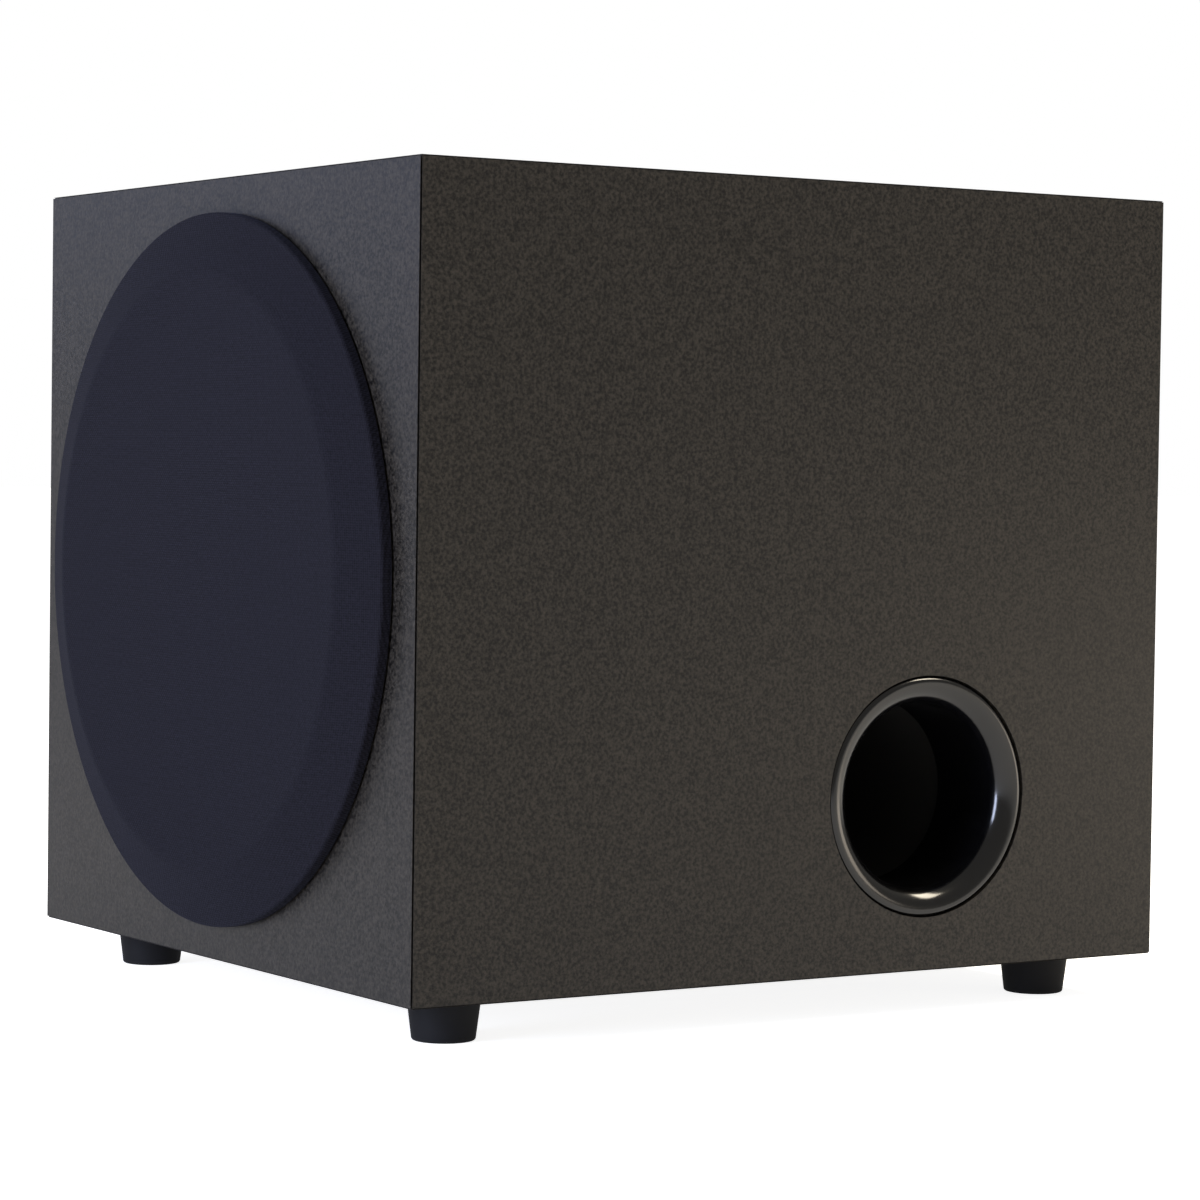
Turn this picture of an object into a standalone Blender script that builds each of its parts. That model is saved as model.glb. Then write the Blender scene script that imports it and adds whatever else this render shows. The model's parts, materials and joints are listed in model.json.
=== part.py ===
"""A powered home-cinema subwoofer: a folded MDF cabinet with a round cloth grille on its
front, an 8-inch driver behind it, a flared port low on its right side and a plate
amplifier on its back.

The frame: metres, +Z up, -Y is the front. The origin is the middle of the footprint, on
the floor. Depths into the cabinet from its front, side or back face are local +Z of the
empty that holds that group of pieces.
"""

import math

import bmesh
import bpy
from mathutils import Matrix

MM = 0.001

# Cabinet
CABINET_WIDTH = 304 * MM
CABINET_DEPTH = 341 * MM
CABINET_HEIGHT = 300 * MM
BOARD = 15 * MM  # MDF thickness
BAFFLE = 18 * MM
GAP = 0.3 * MM  # between pieces that touch or are glued
EDGE_ROUND = 0.5 * MM

# Feet
FOOT_HEIGHT = 17 * MM
FOOT_TOP_RADIUS = 13.8 * MM
FOOT_BOTTOM_RADIUS = 11.7 * MM
FOOT_INSET = 32.7 * MM

# What stands proud of the cabinet's front and back
GRILLE_PROUD = 12 * MM
REAR_PROUD = 18 * MM

# Grille
GRILLE_RADIUS = 136.5 * MM
GRILLE_RIM = 5 * MM
PLATEAU_RADIUS = 114 * MM
GRILLE_OPENING = 112 * MM
CLOTH = 0.4 * MM
PEG_CIRCLE = 124 * MM
PEG_RADIUS = 3 * MM
PEG_LENGTH = 12 * MM
SOCKET_RADIUS = 5 * MM
SOCKET_DEPTH = 16 * MM

# Driver, as depths from the baffle's face
FLANGE_RADIUS = 108 * MM
FLANGE_FRONT = 1.0 * MM
FLANGE_BACK = 4.4 * MM
REBATE = 6 * MM
CUTOUT_RADIUS = 97 * MM
SKIRT_RADIUS = 95.5 * MM
WALL = 3 * MM  # the basket's
SEAT_RADIUS = 57.5 * MM  # the basket where it meets the magnet
CONE_RADIUS = 77 * MM
CONE_LAND = 73 * MM
CONE_DEPTH = 34.5 * MM
CAP_RADIUS = 33 * MM
ROLL_OUTER = 91.5 * MM
ROLL_HEIGHT = 6.5 * MM
FORMER_RADIUS = 19.4 * MM
COIL_RADIUS = 20.7 * MM
SPIDER_DEPTH = 46.2 * MM
LEDGE = 47.4 * MM
TOP_PLATE = 62.3 * MM
MAGNET = 68.6 * MM
YOKE = 86.9 * MM
DRIVER_END = 92.9 * MM
SCREW_CIRCLE = 103 * MM
SCREW_RADIUS = 2 * MM
HEAD_RADIUS = 4 * MM
SPOKES = 6
SPOKE_HALF = 6 * MM
STRIP_REACH = 72.7 * MM
STRIP_DEPTH = 35.2 * MM

# Port, as depths from the right side's face
PORT_FORWARD = 57.3 * MM  # behind the cabinet's middle
PORT_HEIGHT = 67 * MM  # above the cabinet's underside
FLARE_RADIUS = 46.2 * MM
THROAT_RADIUS = 35.6 * MM
TUBE_RADIUS = 40.5 * MM
TUBE_WALL = 2.5 * MM
TUBE_START = 17 * MM
TUBE_END = 220 * MM

# Plate amplifier, as depths out from the back's face
PLATE_WIDTH = 180 * MM
PLATE_HEIGHT = 220 * MM
PLATE_BACK = 1.6 * MM
PLATE_FACE = 4.1 * MM
CUTOUT_MARGIN = 12 * MM
CONTROL_FRONT = -8.1 * MM  # the circuit board's face, which the controls stand on
CONTROL_BACK = 1.3 * MM
KNOB_RADIUS = 10 * MM
TRIM_RADIUS = 3 * MM  # a knob's own shaft
KNOB_ROW = 20 * MM
LEVEL_X = 45 * MM
CROSSOVER_X = 0 * MM
JACK_X = 50 * MM
JACK_ROW = -30 * MM
JACK_PITCH = 16 * MM
PHASE_X = 5 * MM
PHASE_TRAVEL = 4 * MM
LED_X = -40 * MM
MAINS_ROW = -78 * MM
INLET_X = -40 * MM
POWER_X = 30 * MM
ROCKER_TILT = math.radians(10)
ROCKER_PIVOT = 2.1 * MM

# Facets of a full turn
BIG = 36
MIDDLE = 24
SMALL = 12
TINY = 8

FRONT = -(CABINET_DEPTH + GRILLE_PROUD + REAR_PROUD) / 2 + GRILLE_PROUD
REAR = FRONT + CABINET_DEPTH
BASE = FOOT_HEIGHT
SIDE = CABINET_WIDTH / 2
CENTRE = BASE + CABINET_HEIGHT / 2
MITRE = GAP / math.sqrt(2)

FINISHES = {
    "black_vinyl": ((0.040, 0.037, 0.032), 0.55, 0.0),
    "black_cloth": ((0.022, 0.022, 0.036), 0.95, 0.0),
    "black_abs": ((0.018, 0.018, 0.020), 0.45, 0.0),
    "gloss_black_abs": ((0.010, 0.010, 0.012), 0.12, 0.0),
    "black_rubber": ((0.020, 0.020, 0.024), 0.80, 0.0),
    "grey_foam": ((0.10, 0.10, 0.10), 0.95, 0.0),
    "paper_pulp": ((0.030, 0.030, 0.032), 0.75, 0.0),
    "black_steel": ((0.020, 0.020, 0.022), 0.45, 0.6),
    "zinc_steel": ((0.55, 0.55, 0.56), 0.35, 1.0),
    "ferrite": ((0.06, 0.06, 0.065), 0.65, 0.0),
    "kapton_film": ((0.45, 0.20, 0.05), 0.35, 0.0),
    "copper_wire": ((0.70, 0.30, 0.15), 0.35, 1.0),
    "phenolic_cloth": ((0.55, 0.40, 0.12), 0.80, 0.0),
    "cardboard_tube": ((0.05, 0.045, 0.04), 0.90, 0.0),
    "black_aluminium": ((0.025, 0.025, 0.027), 0.40, 0.8),
    "fibreglass_board": ((0.03, 0.16, 0.06), 0.45, 0.0),
    "lamination_steel": ((0.30, 0.30, 0.31), 0.50, 0.9),
    "capacitor_sleeve": ((0.03, 0.04, 0.09), 0.35, 0.0),
    "blue_lens": ((0.05, 0.12, 0.60), 0.15, 0.0),
    "tinsel_braid": ((0.60, 0.45, 0.30), 0.45, 0.8),
    "pvc_lead": ((0.03, 0.03, 0.03), 0.50, 0.0),
}


def material(finish):
    """The material of a finish, made once."""
    found = bpy.data.materials.get(finish)
    if found:
        return found
    colour, roughness, metallic = FINISHES[finish]
    made = bpy.data.materials.new(finish)
    made.use_nodes = True
    shader = made.node_tree.nodes["Principled BSDF"]
    shader.inputs["Base Color"].default_value = (*colour, 1)
    shader.inputs["Roughness"].default_value = roughness
    shader.inputs["Metallic"].default_value = metallic
    return made


def empty(name, at, turn=(0, 0, 0)):
    """An empty that holds a group of pieces, with local +Z along the group's axis."""
    made = bpy.data.objects.new(name, None)
    bpy.context.scene.collection.objects.link(made)
    made.location = at
    made.rotation_euler = turn
    return made


def place(name, shape, finish, parent=None, at=(0, 0, 0), turn=(0, 0, 0)):
    """An object with a shape's mesh, facing outwards."""
    bmesh.ops.recalc_face_normals(shape, faces=shape.faces)
    mesh = bpy.data.meshes.new(name)
    shape.to_mesh(mesh)
    shape.free()
    mesh.materials.append(material(finish))
    mesh.shade_smooth()
    mesh.set_sharp_from_angle(angle=math.radians(35))
    made = bpy.data.objects.new(name, mesh)
    bpy.context.scene.collection.objects.link(made)
    made.parent = parent
    made.location = at
    made.rotation_euler = turn
    return made


def combine(target, operation, shapes):
    """A Boolean on a piece, with one hidden helper made of the shapes, in its own frame."""
    whole = bmesh.new()
    for shape in shapes:
        bmesh.ops.recalc_face_normals(shape, faces=shape.faces)
        part = bpy.data.meshes.new("part")
        shape.to_mesh(part)
        shape.free()
        whole.from_mesh(part)
        bpy.data.meshes.remove(part)
    name = f"{target.name}_{operation.lower()}"
    helper = place(name, whole, "grey_foam", target.parent, target.location)
    helper.rotation_euler = target.rotation_euler
    helper.hide_render = True
    helper.display_type = "WIRE"
    modifier = target.modifiers.new(operation.title(), "BOOLEAN")
    modifier.operation = operation
    modifier.object = helper
    modifier.solver = "EXACT"


def turned(profile, steps, at=(0, 0)):
    """A shape turned about local Z from (radius, depth) points, open only where both ends
    are on the axis."""
    shape = bmesh.new()
    points = [shape.verts.new((radius, 0, depth)) for radius, depth in profile]
    pairs = list(zip(points, points[1:]))
    if profile[0][0] or profile[-1][0]:
        pairs.append((points[-1], points[0]))
    edges = [shape.edges.new(pair) for pair in pairs]
    bmesh.ops.spin(
        shape,
        geom=points + edges,
        cent=(0, 0, 0),
        axis=(0, 0, 1),
        angle=math.tau,
        steps=steps,
        use_merge=True,
        use_duplicate=False,
    )
    bmesh.ops.remove_doubles(shape, verts=shape.verts, dist=0.001 * MM)
    bmesh.ops.translate(shape, verts=shape.verts, vec=(*at, 0))
    return shape


def ring(inner, outer, low, high, steps, at=(0, 0)):
    """A square-sectioned ring between two radii and two depths."""
    corners = [(outer, low), (outer, high), (inner, high), (inner, low)]
    return turned(corners, steps, at)


def disc(radius, low, high, steps, at=(0, 0)):
    """A plain cylinder between two depths."""
    return turned([(0, low), (radius, low), (radius, high), (0, high)], steps, at)


def block(low, high):
    """A box between two corners."""
    shape = bmesh.new()
    bmesh.ops.create_cube(shape, size=1)
    size = [top - bottom for bottom, top in zip(low, high)]
    middle = [(top + bottom) / 2 for bottom, top in zip(low, high)]
    bmesh.ops.scale(shape, vec=size, verts=shape.verts)
    bmesh.ops.translate(shape, vec=middle, verts=shape.verts)
    return shape


def prism(outline, low, high):
    """A flat outline in local X and Y, extruded between two depths."""
    shape = bmesh.new()
    face = shape.faces.new([shape.verts.new((x, y, low)) for x, y in outline])
    grown = bmesh.ops.extrude_face_region(shape, geom=[face])
    top = [item for item in grown["geom"] if isinstance(item, bmesh.types.BMVert)]
    bmesh.ops.translate(shape, vec=(0, 0, high - low), verts=top)
    return shape


def frustum(levels):
    """A slab whose rectangle changes from one depth to the next, as a mitred board's does.
    Each level is its depth, then low x, high x, low y and high y."""
    shape = bmesh.new()
    loops = []
    for depth, left, right, front, back in levels:
        corners = [(left, front), (right, front), (right, back), (left, back)]
        loops.append([shape.verts.new((x, y, depth)) for x, y in corners])
    shape.faces.new(loops[0])
    shape.faces.new(loops[-1])
    for lower, upper in zip(loops, loops[1:]):
        for k in range(4):
            follow = (k + 1) % 4
            shape.faces.new((lower[k], lower[follow], upper[follow], upper[k]))
    return shape


def bevel(target, width, segments=2):
    """A live Bevel on the edges of a piece."""
    modifier = target.modifiers.new("Bevel", "BEVEL")
    modifier.width = width
    modifier.segments = segments
    modifier.limit_method = "ANGLE"
    modifier.angle_limit = math.radians(40)


def round_places(circle, count, start):
    """(x, y) of places spread evenly round a circle."""
    angles = [start + math.tau * k / count for k in range(count)]
    return [(circle * math.cos(a), circle * math.sin(a)) for a in angles]


def wire(name, route, radius, finish, parent, sides=1):
    """A lead: a round tube along a smooth curve through the route's points."""
    fine = []
    padded = [route[0], *route, route[-1]]
    for k in range(len(route) - 1):
        a, b, c, d = padded[k : k + 4]
        for step in range(4):
            t = step / 4
            fine.append([catmull_rom(*values, t) for values in zip(a, b, c, d)])
    fine.append(list(route[-1]))
    curve = bpy.data.curves.new(name, "CURVE")
    curve.dimensions = "3D"
    spline = curve.splines.new("POLY")
    spline.points.add(len(fine) - 1)
    for point, spot in zip(spline.points, fine):
        point.co = (*spot, 1)
    curve.bevel_depth = radius
    curve.bevel_resolution = sides
    curve.use_fill_caps = True
    curve.materials.append(material(finish))
    made = bpy.data.objects.new(name, curve)
    bpy.context.scene.collection.objects.link(made)
    made.parent = parent
    return made


def catmull_rom(a, b, c, d, t):
    """One coordinate of the smooth curve between b and c."""
    return 0.5 * (
        2 * b
        + (c - a) * t
        + (2 * a - 5 * b + 4 * c - d) * t**2
        + (3 * b - a - 3 * c + d) * t**3
    )


# Cabinet


def make_folded_boards():
    """Top, bottom and sides: one folded board, so its corners and its front are mitred."""
    near = FRONT + MITRE
    far_in = FRONT + BOARD + MITRE
    wide = SIDE - MITRE
    narrow = SIDE - BOARD - MITRE
    tall = CABINET_HEIGHT / 2 - MITRE
    short = CABINET_HEIGHT / 2 - BOARD - MITRE
    middle = (0, 0, CENTRE)
    level_outer = (CABINET_HEIGHT / 2, -wide, wide, near, REAR)
    level_inner = (CABINET_HEIGHT / 2 - BOARD, -narrow, narrow, far_in, REAR)
    upright_outer = (SIDE, -tall, tall, near, REAR)
    upright_inner = (SIDE - BOARD, -short, short, far_in, REAR)
    boards = {
        "top_panel": ((level_outer, level_inner), 0),
        "right_panel": ((upright_outer, upright_inner), math.pi / 2),
        "bottom_panel": ((level_outer, level_inner), math.pi),
        "left_panel": ((upright_outer, upright_inner), -math.pi / 2),
    }
    made = {}
    for name, (levels, angle) in boards.items():
        made[name] = place(
            name, frustum(levels), "black_vinyl", at=middle, turn=(0, angle, 0)
        )
        bevel(made[name], EDGE_ROUND)
    return made


def make_front_baffle(front):
    """The front board, mitred into the fold, with the driver's rebate and its holes."""
    tall = CABINET_HEIGHT / 2
    levels = []
    for depth, inset in (
        (0, MITRE),
        (BOARD, BOARD + MITRE),
        (BAFFLE, BOARD + GAP),
    ):
        levels.append(
            (depth, inset - SIDE, SIDE - inset, inset - tall, tall - inset)
        )
    baffle = place("front_baffle", frustum(levels), "black_vinyl", front)
    bevel(baffle, EDGE_ROUND)
    mouth = [
        (0, -BOARD),
        (FLANGE_RADIUS + 0.4 * MM, -BOARD),
        (FLANGE_RADIUS + 0.4 * MM, REBATE),
        (CUTOUT_RADIUS, REBATE),
        (CUTOUT_RADIUS, 2 * BAFFLE),
        (0, 2 * BAFFLE),
    ]
    holes = [turned(mouth, BIG)]
    for spot in round_places(PEG_CIRCLE, 4, math.pi / 4):
        holes.append(disc(SOCKET_RADIUS + GAP, -BOARD, 2 * BAFFLE, SMALL, spot))
    combine(baffle, "DIFFERENCE", holes)
    pilots = []
    for spot in round_places(SCREW_CIRCLE, 4, math.pi / 4):
        pilots.append(disc(SCREW_RADIUS + GAP, 0, 2 * BAFFLE, TINY, spot))
    combine(baffle, "DIFFERENCE", pilots)


def make_rear_panel():
    """The back board, set inside the fold, with the amplifier's cut-out."""
    wide = SIDE - BOARD - GAP
    tall = CABINET_HEIGHT / 2 - BOARD - GAP
    low = (-wide, REAR - BOARD, CENTRE - tall)
    high = (wide, REAR, CENTRE + tall)
    panel = place("rear_panel", block(low, high), "black_vinyl")
    hole_x = PLATE_WIDTH / 2 - CUTOUT_MARGIN
    hole_z = PLATE_HEIGHT / 2 - CUTOUT_MARGIN
    window = block(
        (-hole_x, REAR - 2 * BOARD, CENTRE - hole_z),
        (hole_x, REAR + BOARD, CENTRE + hole_z),
    )
    combine(panel, "DIFFERENCE", [window])


def foot_places():
    """(x, y) of the four feet."""
    across = SIDE - FOOT_INSET
    middle = (FRONT + REAR) / 2
    along = CABINET_DEPTH / 2 - FOOT_INSET
    return [
        (side * across, middle + end * along) for side in (-1, 1) for end in (-1, 1)
    ]


def make_feet(bottom_panel):
    """Four tapered rubber feet, each held by a screw up its middle."""
    outline = [
        (5 * MM, 0),
        (FOOT_BOTTOM_RADIUS - 0.7 * MM, 0),
        (FOOT_BOTTOM_RADIUS, 0.7 * MM),
        (FOOT_TOP_RADIUS, FOOT_HEIGHT - GAP),
        (2.4 * MM, FOOT_HEIGHT - GAP),
        (2.4 * MM, 11 * MM),
        (5 * MM, 11 * MM),
    ]
    screw = [
        (0, 7.8 * MM),
        (HEAD_RADIUS, 7.8 * MM),
        (HEAD_RADIUS, 10.7 * MM),
        (SCREW_RADIUS, 10.7 * MM),
        (SCREW_RADIUS, 28.5 * MM),
        (0, 28.5 * MM),
    ]
    holes = []
    for number, (x, y) in enumerate(foot_places(), 1):
        place(f"foot_{number}", turned(outline, 2 * TINY), "black_rubber", at=(x, y, 0))
        place(f"foot_screw_{number}", turned(screw, TINY), "zinc_steel", at=(x, y, 0))
        start = CABINET_HEIGHT / 2 - 13 * MM
        radius = SCREW_RADIUS + GAP
        holes.append(disc(radius, start, start + BOARD, TINY, (-x, y)))
    combine(bottom_panel, "DIFFERENCE", holes)


# Grille


def make_grille(front):
    """A wedge-sided ring with four pegs, and the cloth stretched over it."""
    slope = CLOTH + GAP
    outer = GRILLE_RADIUS - slope
    frame = [
        (GRILLE_OPENING, -GAP),
        (outer, -GAP),
        (outer, -GRILLE_RIM + slope),
        (PLATEAU_RADIUS, -GRILLE_PROUD + slope),
        (GRILLE_OPENING, -GRILLE_PROUD + slope),
    ]
    hoop = place("grille_frame", turned(frame, BIG), "black_abs", front)
    pegs = []
    for spot in round_places(PEG_CIRCLE, 4, math.pi / 4):
        pegs.append(disc(PEG_RADIUS, -3 * MM, PEG_LENGTH, SMALL, spot))
    combine(hoop, "UNION", pegs)
    cloth = [
        (0, -GRILLE_PROUD),
        (PLATEAU_RADIUS, -GRILLE_PROUD),
        (GRILLE_RADIUS, -GRILLE_RIM),
        (GRILLE_RADIUS, -1 * MM),
        (GRILLE_RADIUS - CLOTH, -1 * MM),
        (GRILLE_RADIUS - CLOTH, CLOTH - GRILLE_RIM),
        (PLATEAU_RADIUS, CLOTH - GRILLE_PROUD),
        (0, CLOTH - GRILLE_PROUD),
    ]
    place("grille_cloth", turned(cloth, BIG), "black_cloth", front)
    bore = PEG_RADIUS + GAP
    cup = [
        (0, SOCKET_DEPTH),
        (SOCKET_RADIUS, SOCKET_DEPTH),
        (SOCKET_RADIUS, GAP),
        (bore, GAP),
        (bore, SOCKET_DEPTH - 1.5 * MM),
        (0, SOCKET_DEPTH - 1.5 * MM),
    ]
    for number, spot in enumerate(round_places(PEG_CIRCLE, 4, math.pi / 4), 1):
        at = (*spot, 0)
        place(f"grille_socket_{number}", turned(cup, SMALL), "black_rubber", front, at)


# Driver


def cone_depth(radius):
    """The depth of the cone's front at a radius: it is a little curved."""
    share = (CONE_LAND - radius) / (CONE_LAND - FORMER_RADIUS - GAP)
    return FLANGE_FRONT + (CONE_DEPTH - FLANGE_FRONT) * share**1.15


def make_basket(front):
    """The pressed basket: flange, skirt, six spokes, the spider's ledge and the seat."""
    inner = SKIRT_RADIUS - WALL
    bore = SEAT_RADIUS - 2.5 * MM
    outline = [
        (FLANGE_RADIUS, FLANGE_FRONT),
        (FLANGE_RADIUS, FLANGE_BACK),
        (SKIRT_RADIUS, FLANGE_BACK),
        (SKIRT_RADIUS, 15 * MM),
        (SEAT_RADIUS, 48 * MM),
        (SEAT_RADIUS, TOP_PLATE - GAP),
        (24 * MM, TOP_PLATE - GAP),
        (24 * MM, TOP_PLATE - 2.5 * MM),
        (bore, TOP_PLATE - 2.5 * MM),
        (bore, LEDGE + 2 * MM),
        (49.5 * MM, LEDGE + 2 * MM),
        (49.5 * MM, LEDGE),
        (56 * MM, LEDGE),
        (inner, 14 * MM),
        (inner, FLANGE_FRONT),
    ]
    basket = place("driver_basket", turned(outline, BIG), "black_steel", front)
    holes = []
    apex = SPOKE_HALF / math.sin(math.pi / SPOKES)
    near, far = 48 * MM, 110 * MM
    for k in range(SPOKES):
        angle = math.tau * k / SPOKES
        corners = []
        for reach, side in ((near, -1), (far, -1), (far, 1), (near, 1)):
            across = side * (reach - apex) * math.tan(math.pi / SPOKES)
            x = reach * math.cos(angle) - across * math.sin(angle)
            y = reach * math.sin(angle) + across * math.cos(angle)
            corners.append((x, y))
        holes.append(prism(corners, 18 * MM, 44 * MM))
    for spot in round_places(SCREW_CIRCLE, 4, math.pi / 4):
        holes.append(disc(SCREW_RADIUS + GAP, -BOARD, FLANGE_BACK + MM, TINY, spot))
    combine(basket, "DIFFERENCE", holes)


def make_seals(front):
    """The gasket behind the flange, and the trim ring that clamps the surround."""
    low, high = FLANGE_BACK + GAP, REBATE - GAP
    gasket = place(
        "driver_gasket",
        ring(CUTOUT_RADIUS + MM, FLANGE_RADIUS, low, high, BIG),
        "grey_foam",
        front,
    )
    holes = []
    for spot in round_places(SCREW_CIRCLE, 4, math.pi / 4):
        holes.append(disc(SCREW_RADIUS + GAP, 0, BAFFLE, TINY, spot))
    combine(gasket, "DIFFERENCE", holes)
    place(
        "driver_trim_ring",
        ring(93 * MM, 98 * MM, -2.4 * MM, -0.4 * MM, BIG),
        "black_rubber",
        front,
    )


def make_cone(front):
    """The paper cone and its dust cap, which move with the voice coil."""
    neck = FORMER_RADIUS + GAP
    radii = [CONE_LAND + (neck - CONE_LAND) * k / 3 for k in range(4)]
    face = [(radius, cone_depth(radius)) for radius in radii]
    thick = 1.6 * MM
    outline = [(CONE_RADIUS, FLANGE_FRONT), *face]
    outline += [(radius, depth + thick) for radius, depth in reversed(face)]
    outline += [(CONE_RADIUS, FLANGE_FRONT + thick)]
    place("cone", turned(outline, BIG), "paper_pulp", front)
    dome = [(CAP_RADIUS * k / 4, 12.5 * MM + 11 * MM * (k / 4) ** 2) for k in range(5)]
    skin = 0.8 * MM
    outline = dome + [(radius, depth + skin) for radius, depth in reversed(dome)]
    place("dust_cap", turned(outline, MIDDLE), "paper_pulp", front)


def make_surround(front):
    """The half-roll rubber surround between the cone's edge and the basket's flange."""
    level = FLANGE_FRONT - GAP
    thick = 0.8 * MM
    middle = (CONE_RADIUS + ROLL_OUTER) / 2
    half = (ROLL_OUTER - CONE_RADIUS) / 2
    count = 5

    def roll(width, height, depth):
        """Points across half a roll, from the cone out."""
        points = []
        for k in range(count + 1):
            angle = math.pi * k / count
            radius = middle - width * math.cos(angle)
            points.append((radius, depth - height * math.sin(angle)))
        return points

    outline = [(CONE_LAND, level - thick), *roll(half, ROLL_HEIGHT, level - thick)]
    outline += [(CUTOUT_RADIUS, level - thick), (CUTOUT_RADIUS, level)]
    outline += reversed(roll(half - thick, ROLL_HEIGHT - thick / 2, level))
    outline += [(CONE_LAND, level)]
    place("surround", turned(outline, BIG), "black_rubber", front)


def make_coil(front):
    """The voice coil on its former, and the spider that centres it."""
    inner = FORMER_RADIUS - 0.5 * MM
    top = TOP_PLATE + 10.3 * MM
    former = ring(inner, FORMER_RADIUS, 31.5 * MM, top, MIDDLE)
    place("coil_former", former, "kapton_film", front)
    winding = ring(FORMER_RADIUS + GAP, COIL_RADIUS, top - 14.3 * MM, top - GAP, MIDDLE)
    place("voice_coil", winding, "copper_wire", front)
    waves = 3
    swing = 1.2 * MM
    face = [(FORMER_RADIUS + GAP, SPIDER_DEPTH), (24 * MM, SPIDER_DEPTH)]
    for k in range(2 * waves):
        radius = 26 * MM + 22 * MM * k / (2 * waves - 1)
        face.append((radius, SPIDER_DEPTH - swing * (-1) ** k))
    face += [(50 * MM, SPIDER_DEPTH), (54 * MM, SPIDER_DEPTH)]
    outline = face + [(radius, depth + 0.6 * MM) for radius, depth in reversed(face)]
    place("spider", turned(outline, MIDDLE), "phenolic_cloth", front)


def make_motor(front):
    """The magnet between its top plate and its yoke, whose pole fills the coil."""
    bore = COIL_RADIUS + 0.8 * MM
    rim = 55 * MM
    plate = ring(bore, rim, TOP_PLATE, MAGNET - GAP, BIG)
    place("top_plate", plate, "zinc_steel", front)
    place("magnet", ring(32 * MM, 60 * MM, MAGNET, YOKE - GAP, BIG), "ferrite", front)
    pole = 18.2 * MM
    vent = 6 * MM
    outline = [
        (vent, TOP_PLATE),
        (pole, TOP_PLATE),
        (pole, YOKE),
        (rim, YOKE),
        (rim, DRIVER_END),
        (vent, DRIVER_END),
    ]
    place("yoke", turned(outline, BIG), "zinc_steel", front)


def make_terminals(front):
    """The strip that the speaker lead pushes on to, and the leads to the voice coil."""
    half = 14 * MM
    top = STRIP_DEPTH + 1.6 * MM
    reach = STRIP_REACH + 15 * MM
    strip = place(
        "terminal_strip",
        block((-half, STRIP_REACH, STRIP_DEPTH), (half, reach, top)),
        "phenolic_cloth",
        front,
    )
    tabs = []
    for side in (-1, 1):
        middle = side * 8.5 * MM
        low = (middle - 3.1 * MM, STRIP_REACH + 7 * MM, top - 0.5 * MM)
        high = (middle + 3.1 * MM, STRIP_REACH + 7.8 * MM, top + 8 * MM)
        tabs.append(block(low, high))
    combine(strip, "UNION", tabs)
    start = 40 * MM
    cone_back = cone_depth(start) + 2.6 * MM
    for number, side in enumerate((-1, 1), 1):
        x = side * 8.5 * MM
        route = [
            (x, start, cone_back),
            (x, start + 3 * MM, cone_back + 5 * MM),
            (x, 54 * MM, 31.5 * MM),
            (x, 68 * MM, 30 * MM),
            (x, 76 * MM, 31 * MM),
            (x, 77.5 * MM, STRIP_DEPTH - GAP),
        ]
        wire(f"tinsel_lead_{number}", route, 0.9 * MM, "tinsel_braid", front)


def make_driver_screws(front):
    """Four pan-headed screws through the flange into the baffle."""
    under = FLANGE_FRONT - GAP
    outline = [
        (0, under - 2.6 * MM),
        (HEAD_RADIUS - MM, under - 2.6 * MM),
        (HEAD_RADIUS, under - 1.4 * MM),
        (HEAD_RADIUS, under),
        (SCREW_RADIUS, under),
        (SCREW_RADIUS, BAFFLE - MM),
        (0, BAFFLE - MM),
    ]
    for number, spot in enumerate(round_places(SCREW_CIRCLE, 4, math.pi / 4), 1):
        at = (*spot, 0)
        place(f"driver_screw_{number}", turned(outline, TINY), "black_steel", front, at)


# Port


def make_port(right_panel):
    """The glossy flare let into the side, and the tube that runs across the cabinet."""
    middle = ((FRONT + REAR) / 2 + PORT_FORWARD, BASE + PORT_HEIGHT)
    axis = empty("port_axis", (SIDE, *middle), (0, -math.pi / 2, 0))
    crest = 44 * MM
    roll = 8.4 * MM
    count = 6
    outline = [(FLARE_RADIUS, 1.2 * MM)]
    for k in range(count + 1):
        angle = math.pi / 2 * k / count
        radius = crest - (crest - THROAT_RADIUS) * math.sin(angle)
        outline.append((radius, roll - roll * math.cos(angle)))
    sleeve = TUBE_RADIUS - TUBE_WALL - GAP
    outline += [
        (THROAT_RADIUS, 40 * MM),
        (sleeve, 40 * MM),
        (sleeve, 15 * MM),
        (TUBE_RADIUS, 3.8 * MM),
        (FLARE_RADIUS, 3.8 * MM),
    ]
    place("port_flare", turned(outline, BIG), "gloss_black_abs", axis)
    tube = ring(TUBE_RADIUS - TUBE_WALL, TUBE_RADIUS, TUBE_START, TUBE_END, BIG)
    place("port_tube", tube, "cardboard_tube", axis)
    hole = [
        (0, -BOARD),
        (FLARE_RADIUS + GAP, -BOARD),
        (FLARE_RADIUS + GAP, 4.1 * MM),
        (TUBE_RADIUS + 0.5 * MM, 4.1 * MM),
        (TUBE_RADIUS + 0.5 * MM, 2 * BOARD),
        (0, 2 * BOARD),
    ]
    cutter = turned(hole, BIG)
    # From the port's frame to the panel's, whose local +Z points out of the cabinet.
    bmesh.ops.rotate(
        cutter,
        verts=cutter.verts,
        cent=(0, 0, 0),
        matrix=Matrix(((1, 0, 0), (0, -1, 0), (0, 0, -1))),
    )
    shift = (CENTRE - middle[1], middle[0], SIDE)
    bmesh.ops.translate(cutter, verts=cutter.verts, vec=shift)
    combine(right_panel, "DIFFERENCE", [cutter])


# Plate amplifier. Local X is the cabinet's X, local Y points down and local +Z is out.


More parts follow.
